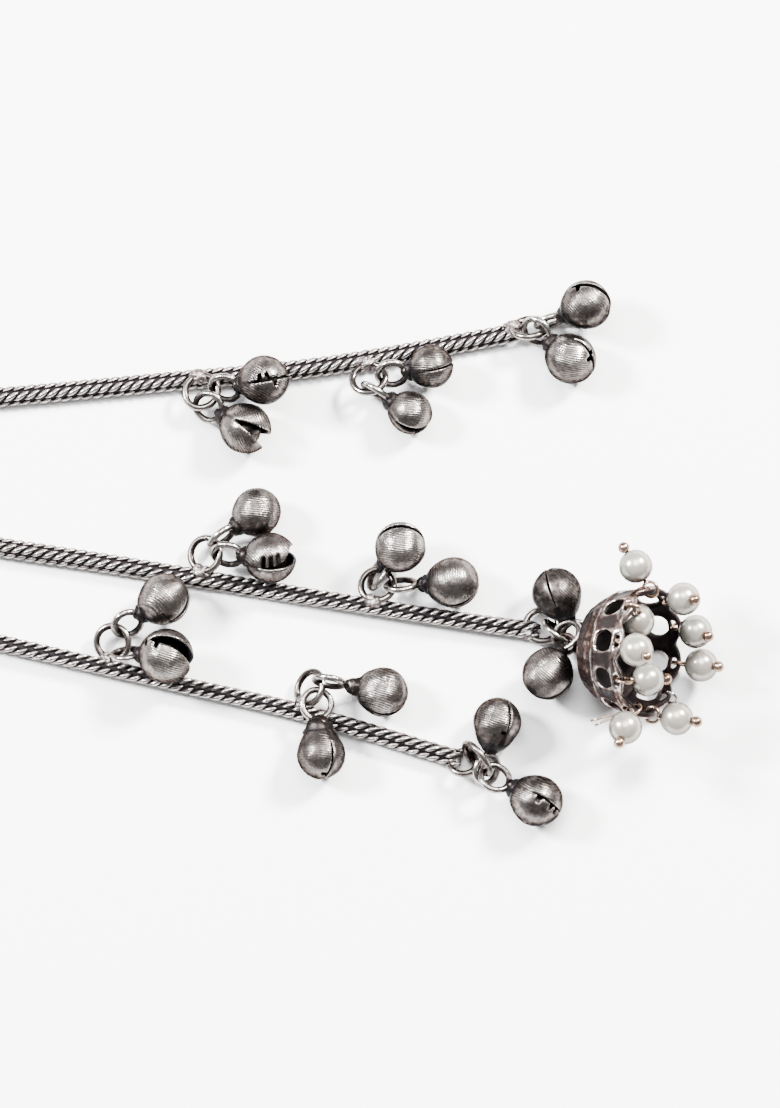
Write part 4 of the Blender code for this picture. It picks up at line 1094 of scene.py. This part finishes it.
# Heading and pitch of each pin, lobe by lobe; the one with none is the open wire ring. Ends are the
# heading and reach of each end that was cut long.
pins = [
    {"lobe": 0, "aim": (123, 10)},
    {"lobe": 1, "aim": (-24, 58)},
    {"lobe": 2, "aim": (-34, 49)},
    {"lobe": 3, "aim": (-14, 39)},
    {"lobe": 4, "aim": None},
    {"lobe": 5, "aim": (-14, 24)},
    {"lobe": 6, "aim": (-110, 33), "ends": ((195, 5.2), (203, 4.9))},
    {"lobe": 7, "aim": (8, -29)},
    {"lobe": 8, "aim": (-45, 51)},
    {"lobe": 9, "aim": (-59, -71)},
]


def straight(start, end):
    # a few points on the line between two
    return [start.lerp(end, k / 4) for k in range(5)]


def pinWire(row, loopCentre, rimTangent, centre):
    # the loop in the rim, the stem through the pearl, its ball head and its wrapped tail
    aim = direction(*row["aim"])
    loopAxis = (rimTangent - aim * rimTangent.dot(aim)).normalized()
    stemStart = loopCentre + aim * pearl["loop"]
    head = centre + aim * (pearl["radius"] + pearl["play"] + pearl["head"] * pearl["headSeat"])
    bm = newMesh()
    wireLoop(bm, pearl["loop"], pearl["wire"], loopCentre, loopAxis, aim, (28, 10))
    sweptWire(bm, straight(stemStart, head), pearl["wire"])
    square = anySquare(aim)
    tail = []
    steps = wrap["steps"] * wrap["turns"]
    for i in range(steps + 1):
        a = 2 * math.pi * i / wrap["steps"]
        around = square * math.cos(a) + aim.cross(square) * math.sin(a)
        onStem = stemStart - aim * (wrap["below"] - wrap["rise"] * i / steps)
        tail.append(onStem + around * wrap["reach"])
    sweptWire(bm, tail, wrap["wire"], 8)
    for heading, reach in row.get("ends", ()):
        way = direction(heading, longEnd["pitch"])
        end = straight(loopCentre + way * longEnd["from"], loopCentre + way * reach)
        sweptWire(bm, end, longEnd["wire"], 8)
    ballOf(bm, pearl["head"], head, aim, (22, 14), lump=0.05, seed=row["lobe"], wearAndShade=0.8)
    showShape("pin_wire_" + str(row["lobe"]), bm, "pin", ["head_pin_" + str(row["lobe"])])


def drilledPearl(row, centre):
    # a bead with a bore; its brightness value is painted shade, 1 on its upper side and falling to 0 on
    # its underside, where the pearl material paints the nacre near black
    aim = direction(*row["aim"])
    place = placed(centre, aim, anySquare(aim))
    turned = place.to_3x3()
    bm = newMesh()
    rings = []
    mouth = math.asin(pearl["bore"] / pearl["radius"])
    for i in range(pearl["rows"] + 1):
        polar = mouth + (math.pi - 2 * mouth) * i / pearl["rows"]
        ring = []
        for j in range(pearl["sides"]):
            a = 2 * math.pi * j / pearl["sides"]
            across = math.sin(polar)
            unit = Vector((across * math.cos(a), across * math.sin(a), math.cos(polar)))
            ownDents = Vector((row["lobe"] * 2.3, 0.0, 0.0))
            swell = 1.0 + pearl["dented"] * noise.noise(unit * 1.3 + ownDents)
            # painted shade: 1 where the point faces up, falling to 0 as it turns down
            lit = min(1.0, max(0.0, ((turned @ unit).z + 0.1) / 0.9))
            ring.append(addPoint(bm, place @ (unit * pearl["radius"] * swell), lit))
        rings.append(ring)
    for i in range(len(rings)):
        addBand(bm, rings[i], rings[(i + 1) % len(rings)])
    showShape("nacre_pearl_" + str(row["lobe"]), bm, "pearl", ["pearl_" + str(row["lobe"])])


def hangPearls(matrix, domeAxis):
    # a pin and its pearl from the middle of each lobe's rim, and the open wire ring from one
    for row in pins:
        turn = math.radians(dome["firstLobe"]) - 2 * math.pi * row["lobe"] / dome["lobes"]
        spoke = dome["radius"] - dome["wall"] / 2
        strip = matrix @ Vector((spoke * math.cos(turn), spoke * math.sin(turn), -dome["strip"] / 2))
        rimTangent = matrix.to_3x3() @ Vector((-math.sin(turn), math.cos(turn), 0.0))
        if row["aim"]:
            aim = direction(*row["aim"])
            loopCentre = strip + aim * pearl["hang"]
            centre = loopCentre + aim * (pearl["loop"] + pearl["wire"] + pearl["play"] + pearl["radius"])
            pinWire(row, loopCentre, rimTangent, centre)
            drilledPearl(row, centre)
        else:
            bm = newMesh()
            hung = strip + domeAxis * pearl["hang"]
            wireLoop(bm, pearl["loop"], pearl["wire"], hung, rimTangent, domeAxis, (30, 10), arc=310.0)
            showShape("wire_open_ring", bm, "wire", ["open_ring"])
    print("pearls and head pins:", len(pins) - 1)


# Ear hook and gathering ring, beyond the photo's edge

earHook = {
    "wire": 0.45, "eye": 1.9, "shank": 8.0, "bend": 5.0, "leg": 13.0, "flare": 2.2,
    "halfDown": 0.35, "down": 0.7, "legStraight": 0.55, "bendSteps": 8,
}


def dressHook():
    # the gathering ring, and the hook that hangs in it by a crosswise eye
    eyeHeight = earHook["eye"] + earHook["wire"] + restGap
    eyeCentre = Vector((-gathering["ringRadius"] - gathering["slack"], 0.0, eyeHeight))
    start = eyeCentre.x - earHook["eye"]
    low = earHook["wire"] + restGap
    path = [
        Vector((start, 0.0, eyeHeight)),
        Vector((start - earHook["shank"] * earHook["halfDown"], 0.0, (eyeHeight + low) * 0.5)),
        Vector((start - earHook["shank"] * earHook["down"], 0.0, low)),
    ]
    bendCentre = Vector((start - earHook["shank"], earHook["bend"], low))
    for i in range(earHook["bendSteps"] + 1):
        a = math.radians(-90.0 - 180.0 * i / earHook["bendSteps"])
        path.append(bendCentre + Vector((math.cos(a), math.sin(a), 0.0)) * earHook["bend"])
    leg = path[-1]
    path.append(leg + Vector((earHook["leg"] * earHook["legStraight"], 0.0, 0.0)))
    path.append(leg + Vector((earHook["leg"], earHook["flare"], 0.0)))
    hook = newMesh()
    sweptWire(hook, smoothRoute(path, 8), earHook["wire"], 14)
    sideways = Vector((0.0, 1.0, 0.0))
    ahead = Vector((1.0, 0.0, 0.0))
    wireLoop(hook, earHook["eye"], earHook["wire"], eyeCentre, sideways, ahead, (44, 14), 0.008)
    showShape("ear_hook_wire", hook, "wire", ["ear_hook"])
    ring = newMesh()
    ringCentre = up * ringHeight
    wireLoop(ring, gathering["ringRadius"], gathering["ringWire"], ringCentre, up, None, (64, 14), 0.006)
    showShape("gathering_ring", ring, "wire", ["top_ring"])
    print("ear hook and gathering ring")


dressHook()
chainBar = weaveBar()
chainTree = weaveTree(looks["woven"])
for strandName in strandRoutes:
    weaveStrand(strandName, chainBar, chainTree)
    strandFittings(strandName)
bpy.data.objects.remove(chainBar)


# Floor, light and camera

# The aim and the view's height are in mm, and the lights stand in metres from the aim
studio = {
    "elevation": 78.0, "aim": (108.8, -10.4, 0.0), "viewHeight": 132.96, "distance": 1100.0,
    "paper": 1200.0, "paperWhite": 0.93, "sky": 1.0,
}
# lean is the angle from upright, and turn the heading that a light stands at
softboxes = [
    {"name": "upper right", "lean": 48.0, "turn": 40.0, "distance": 0.9, "size": 0.20, "power": 52.0,
     "colour": (1.0, 0.97, 0.93)},
    {"name": "upper left", "lean": 48.0, "turn": 162.0, "distance": 0.9, "size": 0.20, "power": 42.0,
     "colour": (0.96, 0.98, 1.0)},
    {"name": "ceiling", "lean": 16.0, "turn": 90.0, "distance": 1.4, "size": 0.90, "power": 40.0,
     "colour": (1.0, 1.0, 1.0)},
]
viewTarget = drawingPlace + Vector(studio["aim"]) * mm


def paperFloor():
    half = studio["paper"] * mm
    mesh = bpy.data.meshes.new("white paper")
    corners = [(-half, -half), (half, -half), (half, half), (-half, half)]
    mesh.from_pydata([(x, y, cadLow.z) for x, y in corners], [], [(0, 1, 2, 3)])
    floor = bpy.data.objects.new("white_paper", mesh)
    bpy.context.scene.collection.objects.link(floor)
    look, tree, shader = startMaterial("white paper")
    shader.inputs["Base Color"].default_value = (*[studio["paperWhite"]] * 3, 1.0)
    shader.inputs["Roughness"].default_value = 0.9
    shader.inputs["Specular IOR Level"].default_value = 0.1
    mesh.materials.append(look)


def softbox(row):
    data = bpy.data.lights.new(row["name"], "AREA")
    data.shape = "ELLIPSE"
    data.size = row["size"]
    data.size_y = row["size"]
    data.energy = row["power"]
    data.color = row["colour"]
    lamp = bpy.data.objects.new(row["name"], data)
    lamp.location = viewTarget + direction(row["turn"], 90.0 - row["lean"]) * row["distance"]
    lamp.rotation_mode = "QUATERNION"
    lamp.rotation_quaternion = (viewTarget - lamp.location).to_track_quat("-Z", "Y")
    bpy.context.scene.collection.objects.link(lamp)


def skyLight():
    # a soft ceiling, dimmer in a band part of the way up
    world = bpy.data.worlds.new("studio")
    world.use_nodes = True
    tree = world.node_tree
    background = tree.nodes["Background"]
    place = tree.nodes.new("ShaderNodeTexCoord")
    split = tree.nodes.new("ShaderNodeSeparateXYZ")
    tree.links.new(place.outputs["Generated"], split.inputs["Vector"])
    sky = colourRamp(tree, split.outputs["Z"], (
        (0.0, (0.50, 0.50, 0.51)), (0.35, (0.36, 0.36, 0.37)), (0.75, (0.46, 0.46, 0.47)),
        (1.0, (0.52, 0.52, 0.53))))
    tree.links.new(sky, background.inputs["Color"])
    background.inputs["Strength"].default_value = studio["sky"]
    bpy.context.scene.world = world


def photoCamera():
    data = bpy.data.cameras.new("camera")
    data.type = "PERSP"
    data.sensor_width = 36.0
    data.lens = data.sensor_width * studio["distance"] / studio["viewHeight"]
    camera = bpy.data.objects.new("camera", data)
    e = math.radians(studio["elevation"])
    back = Vector((0.0, -math.cos(e), math.sin(e)))
    camera.location = viewTarget + back * studio["distance"] * mm
    camera.rotation_mode = "QUATERNION"
    camera.rotation_quaternion = (-back).to_track_quat("-Z", "Y")
    data.clip_start = 0.05
    data.clip_end = 20.0
    bpy.context.scene.collection.objects.link(camera)
    bpy.context.scene.camera = camera


paperFloor()
for boxRow in softboxes:
    softbox(boxRow)
skyLight()
photoCamera()
print("floor, lights and camera")
